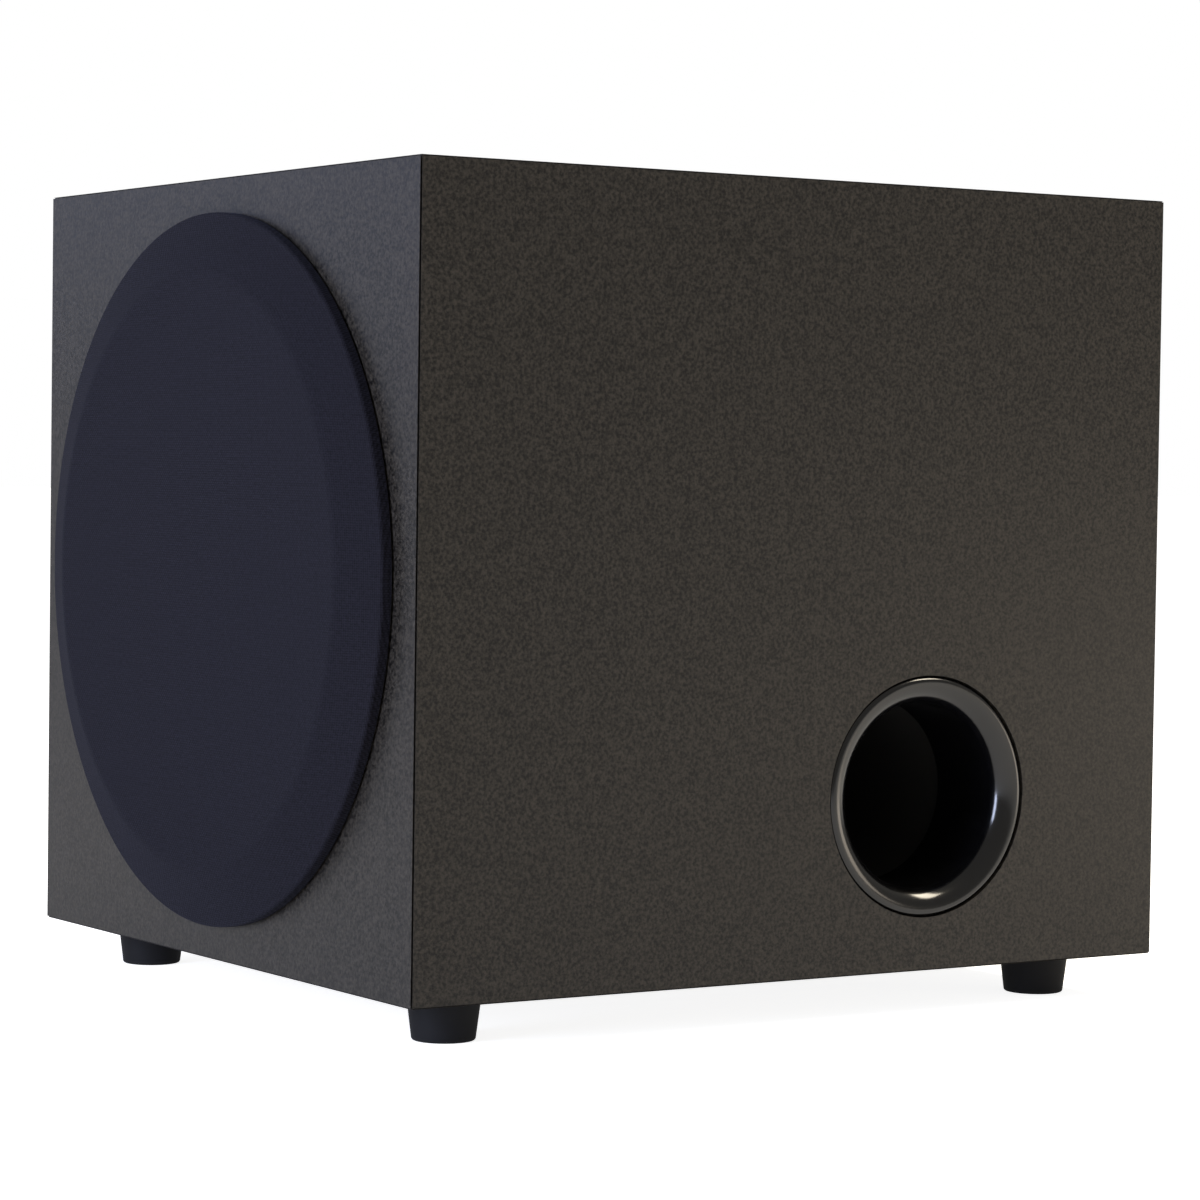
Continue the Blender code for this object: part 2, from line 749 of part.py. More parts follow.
def make_plate(back):
    """The amplifier's plate with its cut-outs, and the gasket behind it."""
    half_x, half_y = PLATE_WIDTH / 2, PLATE_HEIGHT / 2
    rim = CUTOUT_MARGIN - MM
    gasket = place(
        "amp_gasket",
        block((-half_x, -half_y, GAP), (half_x, half_y, PLATE_BACK - GAP)),
        "grey_foam",
        back,
    )
    window = block((rim - half_x, rim - half_y, -BOARD), (half_x - rim, half_y - rim, BOARD))
    combine(gasket, "DIFFERENCE", [window])
    plate = place(
        "amp_plate",
        block((-half_x, -half_y, PLATE_BACK), (half_x, half_y, PLATE_FACE)),
        "black_aluminium",
        back,
    )
    low, high = -BOARD, BOARD
    holes = [
        disc(5.4 * MM, low, high, SMALL, (LEVEL_X, -KNOB_ROW)),
        disc(5.4 * MM, low, high, SMALL, (CROSSOVER_X, -KNOB_ROW)),
        disc(2.9 * MM, low, high, TINY, (LED_X, -KNOB_ROW)),
        opening(PHASE_X, JACK_ROW, 4.4 * MM, 2.1 * MM),
        opening(INLET_X, MAINS_ROW, 14.1 * MM, 10.4 * MM),
        opening(POWER_X, MAINS_ROW, 6.9 * MM, 10.1 * MM),
    ]
    for side in (-1, 1):
        spot = (JACK_X + side * JACK_PITCH / 2, -JACK_ROW)
        holes.append(disc(4.6 * MM, low, high, SMALL, spot))
    combine(plate, "DIFFERENCE", holes)


def opening(x, row, half_x, half_y, low=-BOARD, high=BOARD):
    """A box round a place on the plate, given by its X and its height over the middle."""
    return block((x - half_x, -row - half_y, low), (x + half_x, -row + half_y, high))


def make_heat_sink(back):
    """A finned aluminium extrusion across the top of the plate."""
    half_x, low_y, high_y = 75 * MM, -98 * MM, -50 * MM
    foot = PLATE_FACE + GAP
    base = foot + 3 * MM
    tip = REAR_PROUD - 0.5 * MM
    fins = 13
    thick = 1.8 * MM
    outline = [(-half_x, foot), (half_x, foot)]
    for k in reversed(range(fins)):
        middle = (half_x - thick / 2) * (2 * k / (fins - 1) - 1)
        outline += [(middle + thick / 2, tip), (middle - thick / 2, tip)]
        if k:
            outline += [(middle - thick / 2, base)]
            before = (half_x - thick / 2) * (2 * (k - 1) / (fins - 1) - 1)
            outline += [(before + thick / 2, base)]
    shape = prism(outline, low_y, high_y)
    # The outline's second axis is the fins' height, so the extrusion turns to lie along Y.
    bmesh.ops.rotate(
        shape,
        verts=shape.verts,
        cent=(0, 0, 0),
        matrix=Matrix(((1, 0, 0), (0, 0, 1), (0, 1, 0))),
    )
    bmesh.ops.reverse_faces(shape, faces=shape.faces)
    place("heat_sink", shape, "black_aluminium", back)


def make_board(back):
    """The circuit board with its two smoothing capacitors, and the mains transformer."""
    far = CONTROL_FRONT - GAP
    low = (-70 * MM, -38 * MM, far - 1.6 * MM)
    place("circuit_board", block(low, (70 * MM, 45 * MM, far)), "fibreglass_board", back)
    radius = 11 * MM
    start = far - 1.6 * MM - GAP
    outline = [
        (0, start - 35 * MM),
        (radius - MM, start - 35 * MM),
        (radius, start - 34 * MM),
        (radius, start),
        (0, start),
    ]
    for number, x in enumerate((-48 * MM, -22 * MM), 1):
        can = turned(outline, MIDDLE // 2 + 4)
        place(f"capacitor_{number}", can, "capacitor_sleeve", back, (x, -18 * MM, 0))
    x, y = 35 * MM, -68 * MM
    near = PLATE_BACK - GAP
    core = block((x - 14 * MM, y - 27 * MM, near - 48 * MM), (x + 14 * MM, y + 27 * MM, near))
    transformer = place("transformer", core, "lamination_steel", back)
    low = (x - 24 * MM, y - 18 * MM, near - 40 * MM)
    high = (x + 24 * MM, y + 18 * MM, near - 8 * MM)
    combine(transformer, "UNION", [block(low, high)])


def make_control(back, name, x):
    """A board-mounted potentiometer, and the knob whose own shaft turns in it."""
    pot = place(
        f"{name}_pot",
        opening(x, KNOB_ROW, 8.2 * MM, 8.2 * MM, CONTROL_FRONT, CONTROL_BACK),
        "black_abs",
        back,
    )
    spot = (x, -KNOB_ROW)
    combine(pot, "UNION", [disc(5 * MM, 0, PLATE_FACE, SMALL, spot)])
    depth = -6.5 * MM
    combine(
        pot, "DIFFERENCE", [disc(TRIM_RADIUS + GAP, depth, BOARD, SMALL, spot)]
    )
    foot = PLATE_FACE + 2 * GAP
    outline = [
        (0, depth + GAP),
        (TRIM_RADIUS, depth + GAP),
        (TRIM_RADIUS, foot),
        (KNOB_RADIUS, foot),
        (KNOB_RADIUS - 0.6 * MM, REAR_PROUD - MM),
        (KNOB_RADIUS - 1.6 * MM, REAR_PROUD),
        (0, REAR_PROUD),
    ]
    knob = place(f"{name}_knob", turned(outline, MIDDLE), "black_abs", back, (*spot, 0))
    groove = block(
        (-0.6 * MM, -KNOB_RADIUS - MM, REAR_PROUD - 0.6 * MM),
        (0.6 * MM, -2 * MM, REAR_PROUD + MM),
    )
    combine(knob, "DIFFERENCE", [groove])


def make_jacks(back):
    """Two phono sockets in one moulded block."""
    jacks = place(
        "input_jacks",
        opening(JACK_X, JACK_ROW, 17 * MM, 6.5 * MM, CONTROL_FRONT, CONTROL_BACK),
        "black_abs",
        back,
    )
    spots = [(JACK_X + side * JACK_PITCH / 2, -JACK_ROW) for side in (-1, 1)]
    tip = PLATE_FACE + 9.5 * MM
    combine(jacks, "UNION", [disc(4.15 * MM, 0, tip, SMALL, spot) for spot in spots])
    bores = [disc(1.6 * MM, tip - 8 * MM, tip + MM, TINY, spot) for spot in spots]
    combine(jacks, "DIFFERENCE", bores)


def make_phase_switch(back):
    """A small slide switch: its body behind the plate, and its slider."""
    body = place(
        "phase_switch",
        opening(PHASE_X, JACK_ROW, 10 * MM, 4.5 * MM, CONTROL_FRONT, CONTROL_BACK),
        "black_steel",
        back,
    )
    floor = -1.5 * MM
    slot = opening(PHASE_X, JACK_ROW, 4.2 * MM, 2 * MM, floor, BOARD)
    combine(body, "DIFFERENCE", [slot])
    slider = block(
        (-1.8 * MM, -1.7 * MM, floor + GAP), (1.8 * MM, 1.7 * MM, PLATE_FACE + 3 * MM)
    )
    at = (PHASE_X - PHASE_TRAVEL / 2, -JACK_ROW, 0)
    place("phase_slider", slider, "black_abs", back, at)


def make_led(back):
    """The power light, a 5 mm lens that stands on the board."""
    outline = [
        (0, CONTROL_FRONT),
        (2.5 * MM, CONTROL_FRONT),
        (2.5 * MM, PLATE_FACE),
        (1.6 * MM, PLATE_FACE + 1.3 * MM),
        (0, PLATE_FACE + 1.8 * MM),
    ]
    place("status_led", turned(outline, TINY), "blue_lens", back, (LED_X, -KNOB_ROW, 0))


def make_mains(back):
    """The mains inlet, and the rocker switch beside it."""
    foot = PLATE_FACE + GAP
    inlet = place(
        "mains_inlet",
        opening(INLET_X, MAINS_ROW, 25 * MM, 12 * MM, foot, foot + 2 * MM),
        "black_abs",
        back,
    )
    body = opening(INLET_X, MAINS_ROW, 13.7 * MM, 10 * MM, -17.5 * MM, foot + MM)
    combine(inlet, "UNION", [body])
    recess = opening(INLET_X, MAINS_ROW, 12 * MM, 8.2 * MM, -14 * MM, BOARD)
    combine(inlet, "DIFFERENCE", [recess])
    housing = place(
        "power_switch",
        opening(POWER_X, MAINS_ROW, 7.5 * MM, 10.7 * MM, foot, foot + 1.4 * MM),
        "black_abs",
        back,
    )
    body = opening(POWER_X, MAINS_ROW, 6.5 * MM, 9.7 * MM, -9 * MM, foot + MM)
    combine(housing, "UNION", [body])
    well = opening(POWER_X, MAINS_ROW, 5.6 * MM, 9.2 * MM, -7.5 * MM, BOARD)
    combine(housing, "DIFFERENCE", [well])
    outline = [
        (-8 * MM, 4.6 * MM),
        (-8 * MM, 0.6 * MM),
        (-3 * MM, -2.4 * MM),
        (3 * MM, -2.4 * MM),
        (8 * MM, 0.6 * MM),
        (8 * MM, 4.6 * MM),
        (0, 3.2 * MM),
    ]
    rocker = prism(outline, -5.2 * MM, 5.2 * MM)
    # The outline's axes become local Y and Z, so that the rocker turns about local X.
    bmesh.ops.rotate(
        rocker,
        verts=rocker.verts,
        cent=(0, 0, 0),
        matrix=Matrix(((0, 0, 1), (1, 0, 0), (0, 1, 0))),
    )
    at = (POWER_X, -MAINS_ROW, ROCKER_PIVOT)
    place("power_rocker", rocker, "black_abs", back, at, (ROCKER_TILT, 0, 0))


def make_speaker_lead():
    """The two-core lead from the circuit board over the port to the driver's strip."""
    board = REAR + CONTROL_FRONT - 2 * GAP - 1.6 * MM
    strip = FRONT + STRIP_DEPTH
    below = CENTRE - STRIP_REACH - 7.4 * MM
    route = [
        (0, board, CENTRE - 12 * MM),
        (0, board - 10 * MM, CENTRE - 13 * MM),
        (0, 105 * MM, CENTRE - 26 * MM),
        (0, 60 * MM, CENTRE - 33 * MM),
        (0, 20 * MM, CENTRE - 44 * MM),
        (0, -20 * MM, CENTRE - 72 * MM),
        (0, -60 * MM, CENTRE - 94 * MM),
        (0, -100 * MM, CENTRE - 99 * MM),
        (0, strip + 18 * MM, below - 12 * MM),
        (0, strip + 7 * MM, below),
    ]
    wire("speaker_lead", route, 2.3 * MM, "pvc_lead", None)


def main():
    for item in list(bpy.data.objects):
        bpy.data.objects.remove(item)
    boards = make_folded_boards()
    front = empty("front_axis", (0, FRONT, CENTRE), (-math.pi / 2, 0, 0))
    make_front_baffle(front)
    make_rear_panel()
    make_feet(boards["bottom_panel"])
    make_grille(front)
    make_basket(front)
    make_seals(front)
    make_cone(front)
    make_surround(front)
    make_coil(front)
    make_motor(front)
    make_terminals(front)
    make_driver_screws(front)
    make_port(boards["right_panel"])
    back = empty("back_axis", (0, REAR, CENTRE), (-math.pi / 2, 0, 0))
    make_plate(back)
    make_heat_sink(back)
    make_board(back)
    make_control(back, "level", LEVEL_X)
    make_control(back, "crossover", CROSSOVER_X)
    make_jacks(back)
    make_phase_switch(back)
    make_led(back)
    make_mains(back)
    make_speaker_lead()


main()
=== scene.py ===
# %% [markdown]
# # A powered subwoofer
#
# A subwoofer plays the lowest notes. This one is a box of folded MDF wrapped in black
# vinyl, with a round cloth grille over its driver, a flared port in its right side and
# an amplifier on its back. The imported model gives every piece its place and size, and
# this script gives it its looks. It could be dressed in materials alone, but the packed
# pieces are coarse, so every piece that shows is turned, cut or folded again more
# finely here, in the same place.

import json
import math

import bmesh
import bpy
from mathutils import Matrix, Vector
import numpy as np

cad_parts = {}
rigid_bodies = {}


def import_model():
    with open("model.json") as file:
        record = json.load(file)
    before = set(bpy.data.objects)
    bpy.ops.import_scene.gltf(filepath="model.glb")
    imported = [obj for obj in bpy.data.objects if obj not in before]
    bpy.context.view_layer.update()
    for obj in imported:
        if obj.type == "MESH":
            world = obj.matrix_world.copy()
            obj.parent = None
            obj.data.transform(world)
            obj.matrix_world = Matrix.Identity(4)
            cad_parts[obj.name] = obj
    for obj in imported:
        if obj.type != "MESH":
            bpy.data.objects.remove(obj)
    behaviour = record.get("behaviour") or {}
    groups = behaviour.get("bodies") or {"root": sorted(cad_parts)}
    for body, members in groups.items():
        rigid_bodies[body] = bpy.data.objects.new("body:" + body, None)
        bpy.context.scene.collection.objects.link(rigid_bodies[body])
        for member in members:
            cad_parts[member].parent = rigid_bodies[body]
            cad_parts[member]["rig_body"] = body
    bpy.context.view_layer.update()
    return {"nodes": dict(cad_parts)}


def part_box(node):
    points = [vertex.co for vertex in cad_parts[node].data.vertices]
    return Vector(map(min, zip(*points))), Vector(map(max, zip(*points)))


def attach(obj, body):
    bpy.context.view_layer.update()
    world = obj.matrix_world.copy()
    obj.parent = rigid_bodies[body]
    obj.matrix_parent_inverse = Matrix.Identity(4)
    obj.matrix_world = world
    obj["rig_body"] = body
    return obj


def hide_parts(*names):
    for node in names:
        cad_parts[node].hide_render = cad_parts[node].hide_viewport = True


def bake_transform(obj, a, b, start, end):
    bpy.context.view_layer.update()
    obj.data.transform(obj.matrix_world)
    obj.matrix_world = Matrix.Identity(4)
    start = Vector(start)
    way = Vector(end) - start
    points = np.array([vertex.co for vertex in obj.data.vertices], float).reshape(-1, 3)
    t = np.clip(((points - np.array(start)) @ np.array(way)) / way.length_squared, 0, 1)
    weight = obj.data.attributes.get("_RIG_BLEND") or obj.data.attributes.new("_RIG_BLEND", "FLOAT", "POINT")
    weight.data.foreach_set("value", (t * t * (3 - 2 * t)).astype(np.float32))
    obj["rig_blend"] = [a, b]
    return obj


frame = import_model()
nodes = frame["nodes"]
MM = 0.001

# %% [markdown]
# ## The camera
#
# The box is seen from its front right corner, from just above its middle, so its
# upright edges stay almost parallel. A camera could be aimed with a constraint, but an
# export does not keep one. Three turns say the same thing: round the object, down
# towards it, and a slight roll of the hand.

# %% The camera
CAMERA_SPOT = (1.3016, -0.8419, 0.2109)
ROUND, DOWN, ROLL = (math.radians(turn) for turn in (57.05, 2.10, 0.786))

lens = bpy.data.cameras.new("camera")
lens.lens = 113.93
lens.sensor_width = 36
camera = bpy.data.objects.new("camera", lens)
bpy.context.scene.collection.objects.link(camera)
camera.matrix_world = (
    Matrix.Translation(CAMERA_SPOT)
    @ Matrix.Rotation(ROUND, 4, "Z")
    @ Matrix.Rotation(math.pi / 2 - DOWN, 4, "X")
    @ Matrix.Rotation(ROLL, 4, "Z")
)
bpy.context.scene.camera = camera
print("camera at", [round(value, 2) for value in camera.matrix_world.translation])

# %% [markdown]
# ## Colours and nodes
#
# Paint charts and screens give colours as sRGB hex values, while a shader works in
# linear light, so one function turns the one into the other. A second function adds a
# node together with its settings and its links, which keeps each material a short list
# of what it is made of.


# %% Colours and nodes
def tone(code):
    """An sRGB hex colour as linear red, green, blue and alpha."""
    parts = [int(code[k : k + 2], 16) / 255 for k in (0, 2, 4)]
    linear = [p / 12.92 if p <= 0.04045 else ((p + 0.055) / 1.055) ** 2.4 for p in parts]
    return (*linear, 1)


def add(tree, kind, inputs, **settings):
    """A new node, with values or other nodes' sockets on its inputs."""
    made = tree.nodes.new("ShaderNode" + kind)
    for key, value in settings.items():
        setattr(made, key, value)
    for key, value in inputs.items():
        if isinstance(value, bpy.types.NodeSocket):
            tree.links.new(value, made.inputs[key])
        else:
            made.inputs[key].default_value = value
    return made


def finish(name, roughness=0.5, metallic=0.0):
    """A material, with its node tree and its shader for the patterns that colour it."""
    made = bpy.data.materials.new(name)
    made.use_nodes = True
    shader = made.node_tree.nodes["Principled BSDF"]
    shader.inputs["Roughness"].default_value = roughness
    shader.inputs["Metallic"].default_value = metallic
    return made, made.node_tree, shader


print("black vinyl in linear light:", [round(value, 4) for value in tone("1c1a18")])

# %% [markdown]
# ## Grain
#
# No moulded, pressed or painted surface is perfectly even. A fine noise, read in
# metres from the piece's own coordinates, moves the colour between two close tones,
# the roughness a little up and down, and the surface by hundredths of a millimetre.
# An image could carry this, but a procedural grain has no seams and no resolution.


# %% Grain
def grain(tree, shader, size, depth, tones=None, gloss=None, stretch=(1, 1, 1)):
    """Noise of a size in mm as a bump of a depth in mm, and as colour and roughness."""
    place = add(tree, "TexCoord", {}).outputs["Object"]
    if stretch != (1, 1, 1):
        place = add(tree, "Mapping", {"Vector": place, "Scale": stretch}).outputs[0]
    speckle = {"Vector": place, "Scale": 1 / (size * MM), "Detail": 3.0, "Roughness": 0.6}
    noise = add(tree, "TexNoise", speckle).outputs["Fac"]
    if tones:
        ramp = add(tree, "ValToRGB", {"Fac": noise})
        for stop, spot, code in zip(ramp.color_ramp.elements, (0.35, 0.68), tones):
            stop.position = spot
            stop.color = tone(code)
        tree.links.new(ramp.outputs["Color"], shader.inputs["Base Color"])
    if gloss:
        spread = {"Value": noise, "To Min": gloss[0], "To Max": gloss[1]}
        rough = add(tree, "MapRange", spread).outputs[0]
        tree.links.new(rough, shader.inputs["Roughness"])
    bump = add(tree, "Bump", {"Height": noise, "Strength": 1.0, "Distance": depth * MM})
    tree.links.new(bump.outputs["Normal"], shader.inputs["Normal"])
    return bump


def grained(name, *pattern, metallic=0.0):
    """A material that is one grain all over."""
    made, tree, shader = finish(name, metallic=metallic)
    grain(tree, shader, *pattern)
    return made


print("grain reads Object coordinates in metres")

# %% [markdown]
# ## Vinyl on MDF
#
# The cabinet is MDF under a printed PVC film, embossed with a shallow leather grain of
# pebbles about a millimetre across. That gives a satin black which turns paler where
# it is seen at a slant. Voronoi cells make the pebbles, and a finer noise breaks them
# up, so that the film catches the light in small specks and not as a mirror.

# %% Vinyl on MDF
vinyl, tree, shader = finish("embossed PVC film")
shader.inputs["Specular IOR Level"].default_value = 0.26
bump = grain(tree, shader, 1.2, 0.03, ("040303", "322e29"), (0.34, 0.54))
spot = add(tree, "TexCoord", {}).outputs["Object"]
pebbles = add(tree, "TexVoronoi", {"Vector": spot, "Scale": 1 / (1.1 * MM)})
film_relief = {"Height": pebbles.outputs["Distance"], "Normal": bump.outputs["Normal"]}
film_relief |= {"Strength": 0.5, "Distance": 0.03 * MM}
emboss = add(tree, "Bump", film_relief, invert=True)
tree.links.new(emboss.outputs["Normal"], shader.inputs["Normal"])

edge_paint = grained(
    "black paint on MDF edges", 1.5, 0.08, ("100f0e", "241f1b"), (0.7, 0.92), (1, 0.3, 1)
)
print("made", vinyl.name, "and", edge_paint.name)

# %% [markdown]
# ## Acoustic cloth
#
# The grille is covered in a thin plain-woven polyester that sound passes through. It
# looks matt and slightly blue, because half of what is seen is the dark between the
# threads. Real threads are 0.4 mm apart, too fine to show, so they are drawn 0.9 mm
# apart. Two waves make the threads, a checker says which one lies on top, and a noise
# makes the yarn uneven. All read a UV map in metres, which follows the cloth down the
# grille's bevelled side.

# %% Acoustic cloth
THREAD = 0.9 * MM
WAVES_PER_UNIT = 20 / math.tau  # how often a Wave texture repeats at scale 1

cloth, tree, shader = finish("woven polyester", 0.97)
shader.inputs["Specular IOR Level"].default_value = 0.12
shader.inputs["Sheen Weight"].default_value = 0.05
shader.inputs["Sheen Roughness"].default_value = 0.5
shader.inputs["Sheen Tint"].default_value = tone("8c92b8")
weave = add(tree, "UVMap", {}, uv_map="cloth").outputs["UV"]
across = {"Vector": weave, "Scale": 1 / (THREAD * WAVES_PER_UNIT)}
threads = [add(tree, "TexWave", across, bands_direction=way).outputs["Fac"] for way in "XY"]
over = add(tree, "TexChecker", {"Vector": weave, "Scale": 1 / THREAD}).outputs["Fac"]
height = add(tree, "Mix", {0: over, 2: threads[0], 3: threads[1]}).outputs[0]
yarn = add(tree, "TexNoise", {"Vector": weave, "Scale": 0.6 / THREAD, "Detail": 3.0})
uneven = add(tree, "Mix", {0: 0.55, 2: height, 3: yarn.outputs["Fac"]}).outputs[0]
shade = add(tree, "ValToRGB", {"Fac": uneven})
shade.color_ramp.elements[0].position = 0.2
shade.color_ramp.elements[0].color = tone("040406")
shade.color_ramp.elements[1].position = 0.8
shade.color_ramp.elements[1].color = tone("1e1d25")
tree.links.new(shade.outputs["Color"], shader.inputs["Base Color"])
relief = add(tree, "Bump", {"Height": height, "Strength": 0.5, "Distance": 0.15 * MM})
tree.links.new(relief.outputs["Normal"], shader.inputs["Normal"])
print("threads every", THREAD / MM, "mm")

# %% [markdown]
# ## Moulded plastic and rubber
#
# The flare is ABS from a polished mould, so it is nearly a black mirror. The grille's
# ring, the knobs and the sockets are ABS from a spark-eroded mould, with an even fine
# texture. Rubber parts are duller, and dust makes them patchy. All of them are
# dielectrics at the default IOR of 1.5, so only roughness and grain tell them apart.

# %% Moulded plastic and rubber
gloss_abs = grained("polished ABS", 9.0, 0.004, ("060607", "09090b"), (0.13, 0.19))

textured_abs = grained("spark-textured ABS", 0.35, 0.012, ("101012", "1b1b1e"), (0.42, 0.56))

rubber, tree, shader = finish("moulded rubber")
shader.inputs["Specular IOR Level"].default_value = 0.25
grain(tree, shader, 1.2, 0.02, ("040406", "0c0c10"), (0.62, 0.85))

foam = grained("closed-cell foam", 0.8, 0.15, ("262627", "4a4a4b"), (0.9, 1.0))

red_abs = grained("red ABS", 0.6, 0.008, ("8f1317", "ad1b1f"), (0.3, 0.42))
white_abs = grained("white ABS", 0.6, 0.008, ("d2d0ca", "e4e2dd"), (0.3, 0.42))

print_ink = grained("screen-printed ink", 0.25, 0.006, ("b4b4b1", "d6d6d3"), (0.5, 0.7))
print("made", gloss_abs.name, "and its relations")

# %% [markdown]
# ## Paper, board and film
#
# The cone is pressed from wet paper pulp, so short fibres lie in it in every
# direction. The port's tube is wound card, painted black. The coil's former is
# polyimide film, a clear amber. The spider is cotton dipped in phenolic resin, so it
# is a stiff tan cloth: its weave is two crossed waves, as on the grille.

# %% Paper, board and film
pulp, tree, shader = finish("pressed paper pulp")
bump = grain(tree, shader, 1.6, 0.06, ("111113", "29292c"), (0.72, 0.92))
spot = add(tree, "TexCoord", {}).outputs["Object"]
strands = {"Vector": spot, "Scale": 1 / (4 * MM), "Detail": 4.0, "Distortion": 3.0}
strands = add(tree, "TexNoise", strands)
felt = {"Height": strands.outputs["Fac"], "Normal": bump.outputs["Normal"]}
felt = add(tree, "Bump", felt | {"Strength": 0.6, "Distance": 0.08 * MM})
tree.links.new(felt.outputs["Normal"], shader.inputs["Normal"])

card = grained("wound card tube", 2.0, 0.05, ("090808", "141211"), (0.85, 0.97), (0.4, 1, 1))

film, tree, shader = finish("polyimide film")
shader.inputs["Coat Weight"].default_value = 0.3
grain(tree, shader, 3.0, 0.01, ("8a4c15", "a86424"), (0.22, 0.36))

resin_cloth, tree, shader = finish("resin-dipped cotton", 0.8)
spot = add(tree, "TexCoord", {}).outputs["Object"]
across = {"Vector": spot, "Scale": 1 / (0.8 * MM * WAVES_PER_UNIT)}
crossed = [add(tree, "TexWave", across, bands_direction=way).outputs["Fac"] for way in "XZ"]
height = add(tree, "Math", {0: crossed[0], 1: crossed[1]}, operation="MAXIMUM").outputs[0]
shade = add(tree, "ValToRGB", {"Fac": height})
shade.color_ramp.elements[0].color = tone("6e5322")
shade.color_ramp.elements[1].color = tone("b9944c")
tree.links.new(shade.outputs["Color"], shader.inputs["Base Color"])
relief = add(tree, "Bump", {"Height": height, "Strength": 0.6, "Distance": 0.1 * MM})
tree.links.new(relief.outputs["Normal"], shader.inputs["Normal"])
print("made", pulp.name, card.name, film.name, resin_cloth.name, sep=", ")

# %% [markdown]
# ## Metals
#
# The basket is pressed steel with a baked black powder coat, which has an orange-peel
# surface. The motor and the hidden screws are zinc-plated: a pale metal, with cloudy
# roughness from the bath. The amplifier's plate and its heat sink are aluminium,
# painted or anodised black. The phono sockets are nickel-plated, and the magnet is
# ferrite, which is a dark ceramic and not a metal at all.

# %% Metals
powder = grained("black powder coat", 0.9, 0.03, ("101011", "1b1b1d"), (0.34, 0.52))

zinc = grained("zinc-plated steel", 2.5, 0.01, ("a3a39d", "c2c0b7"), (0.26, 0.46), metallic=1.0)

nickel = grained("nickel plate", 1.0, 0.004, ("b9b09c", "cfc6b4"), (0.16, 0.28), metallic=1.0)

plate_paint = grained("black painted aluminium", 0.45, 0.02, ("131315", "202022"), (0.44, 0.6))

drawn = ("202024", "2e2e33"), (0.32, 0.46), (1, 1, 0.04)  # in lines along the extrusion
anodised = grained("black anodised aluminium", 0.6, 0.008, *drawn, metallic=0.85)

ferrite = grained("sintered ferrite", 0.7, 0.03, ("222225", "38383b"), (0.5, 0.72))

braid = grained("tinsel braid", 0.5, 0.05, ("7c5b33", "c39a66"), (0.34, 0.54), metallic=0.9)
print("made", powder.name, zinc.name, nickel.name, anodised.name, sep=", ")

# %% [markdown]
# ## Stacked and wound metal
#
# Two pieces show fine parallel lines: the voice coil's turns of enamelled copper, and
# the transformer's core of stacked steel sheets. Modelling them would take thousands
# of rings that nobody sees from outside, so one Wave texture across each gives the
# lines as colour and as bump.


# %% Stacked and wound metal
def lines(name, pitch, direction, tones, roughness, metallic):
    """A finish of fine parallel lines, a pitch in mm apart along an axis."""
    made, tree, shader = finish(name, roughness, metallic)
    spot = add(tree, "TexCoord", {}).outputs["Object"]
    across = {"Vector": spot, "Scale": 1 / (pitch * MM * WAVES_PER_UNIT)}
    wave = add(tree, "TexWave", across, bands_direction=direction).outputs["Fac"]
    ramp = add(tree, "ValToRGB", {"Fac": wave})
    for stop, code in zip(ramp.color_ramp.elements, tones):
        stop.color = tone(code)
    tree.links.new(ramp.outputs["Color"], shader.inputs["Base Color"])
    groove = add(tree, "Bump", {"Height": wave, "Strength": 0.7, "Distance": 0.1 * MM})
    tree.links.new(groove.outputs["Normal"], shader.inputs["Normal"])
    return made


copper = lines("enamelled copper wire", 0.5, "Y", ("5a2310", "c46a34"), 0.3, 1.0)
laminations = lines("stacked core steel", 0.7, "X", ("3b3b3d", "77777a"), 0.45, 0.9)
winding_tape = grained("winding tape", 2.0, 0.03, ("b08f30", "cfae4a"), (0.32, 0.5))
print("made", copper.name, "and", laminations.name)

# %% [markdown]
# ## The electronics' finishes
#
# The circuit board is fibreglass under green solder mask, with the copper tracks
# faintly raised. The capacitors wear shrunk PVC sleeves, and the speaker lead is PVC
# too. The power light is a clear blue epoxy lens that passes some light, and it glows
# a little, as it would in use.

# %% The electronics' finishes
solder_mask, tree, shader = finish("green solder mask", 0.35)
spot = add(tree, "TexCoord", {}).outputs["Object"]
grid = {"Vector": spot, "Scale": 120.0, "Mortar Size": 0.03, "Mortar Smooth": 0.2}
grid |= {"Color1": tone("14502a"), "Color2": tone("1a5c31"), "Mortar": tone("2b7a45")}
tracks = add(tree, "TexBrick", grid)
tree.links.new(tracks.outputs["Color"], shader.inputs["Base Color"])

sleeve = grained("shrunk PVC sleeve", 4.0, 0.02, ("1b2138", "262d49"), (0.25, 0.38))

pvc = grained("PVC insulation", 1.0, 0.01, ("151516", "212123"), (0.38, 0.54))

lens_blue, tree, shader = finish("blue epoxy lens", 0.12)
shader.inputs["Transmission Weight"].default_value = 0.5
shader.inputs["Emission Color"].default_value = tone("2f6bff")
shader.inputs["Emission Strength"].default_value = 0.6
grain(tree, shader, 2.0, 0.002, ("1f4ad0", "2a58e4"))
print("made", solder_mask.name, sleeve.name, pvc.name, lens_blue.name, sep=", ")

# %% [markdown]
# ## Tools for shapes
#
# Most of this object is turned: grille, driver, port, feet, knobs. So one tool spins an
# outline about local Z, with any corner rounded first, which costs less than bevelling
# the finished ring. Another makes a box between two corners, a third cuts or joins
# shapes with an exact Boolean, and the last two make the finished piece and paint part
# of it. Shading by face area keeps the flats flat beside their small rounded edges.


# %% Tools for shapes
def round_edges(shape, edges, radius, segments=3, affect="EDGES"):
    """Round some edges, or points, of a shape to a radius in mm."""
    bmesh.ops.bevel(
        shape,
        geom=edges,
        offset=radius * MM,
        offset_type="OFFSET",
        segments=segments,
        profile=0.5,
        affect=affect,
        material=-1,
    )


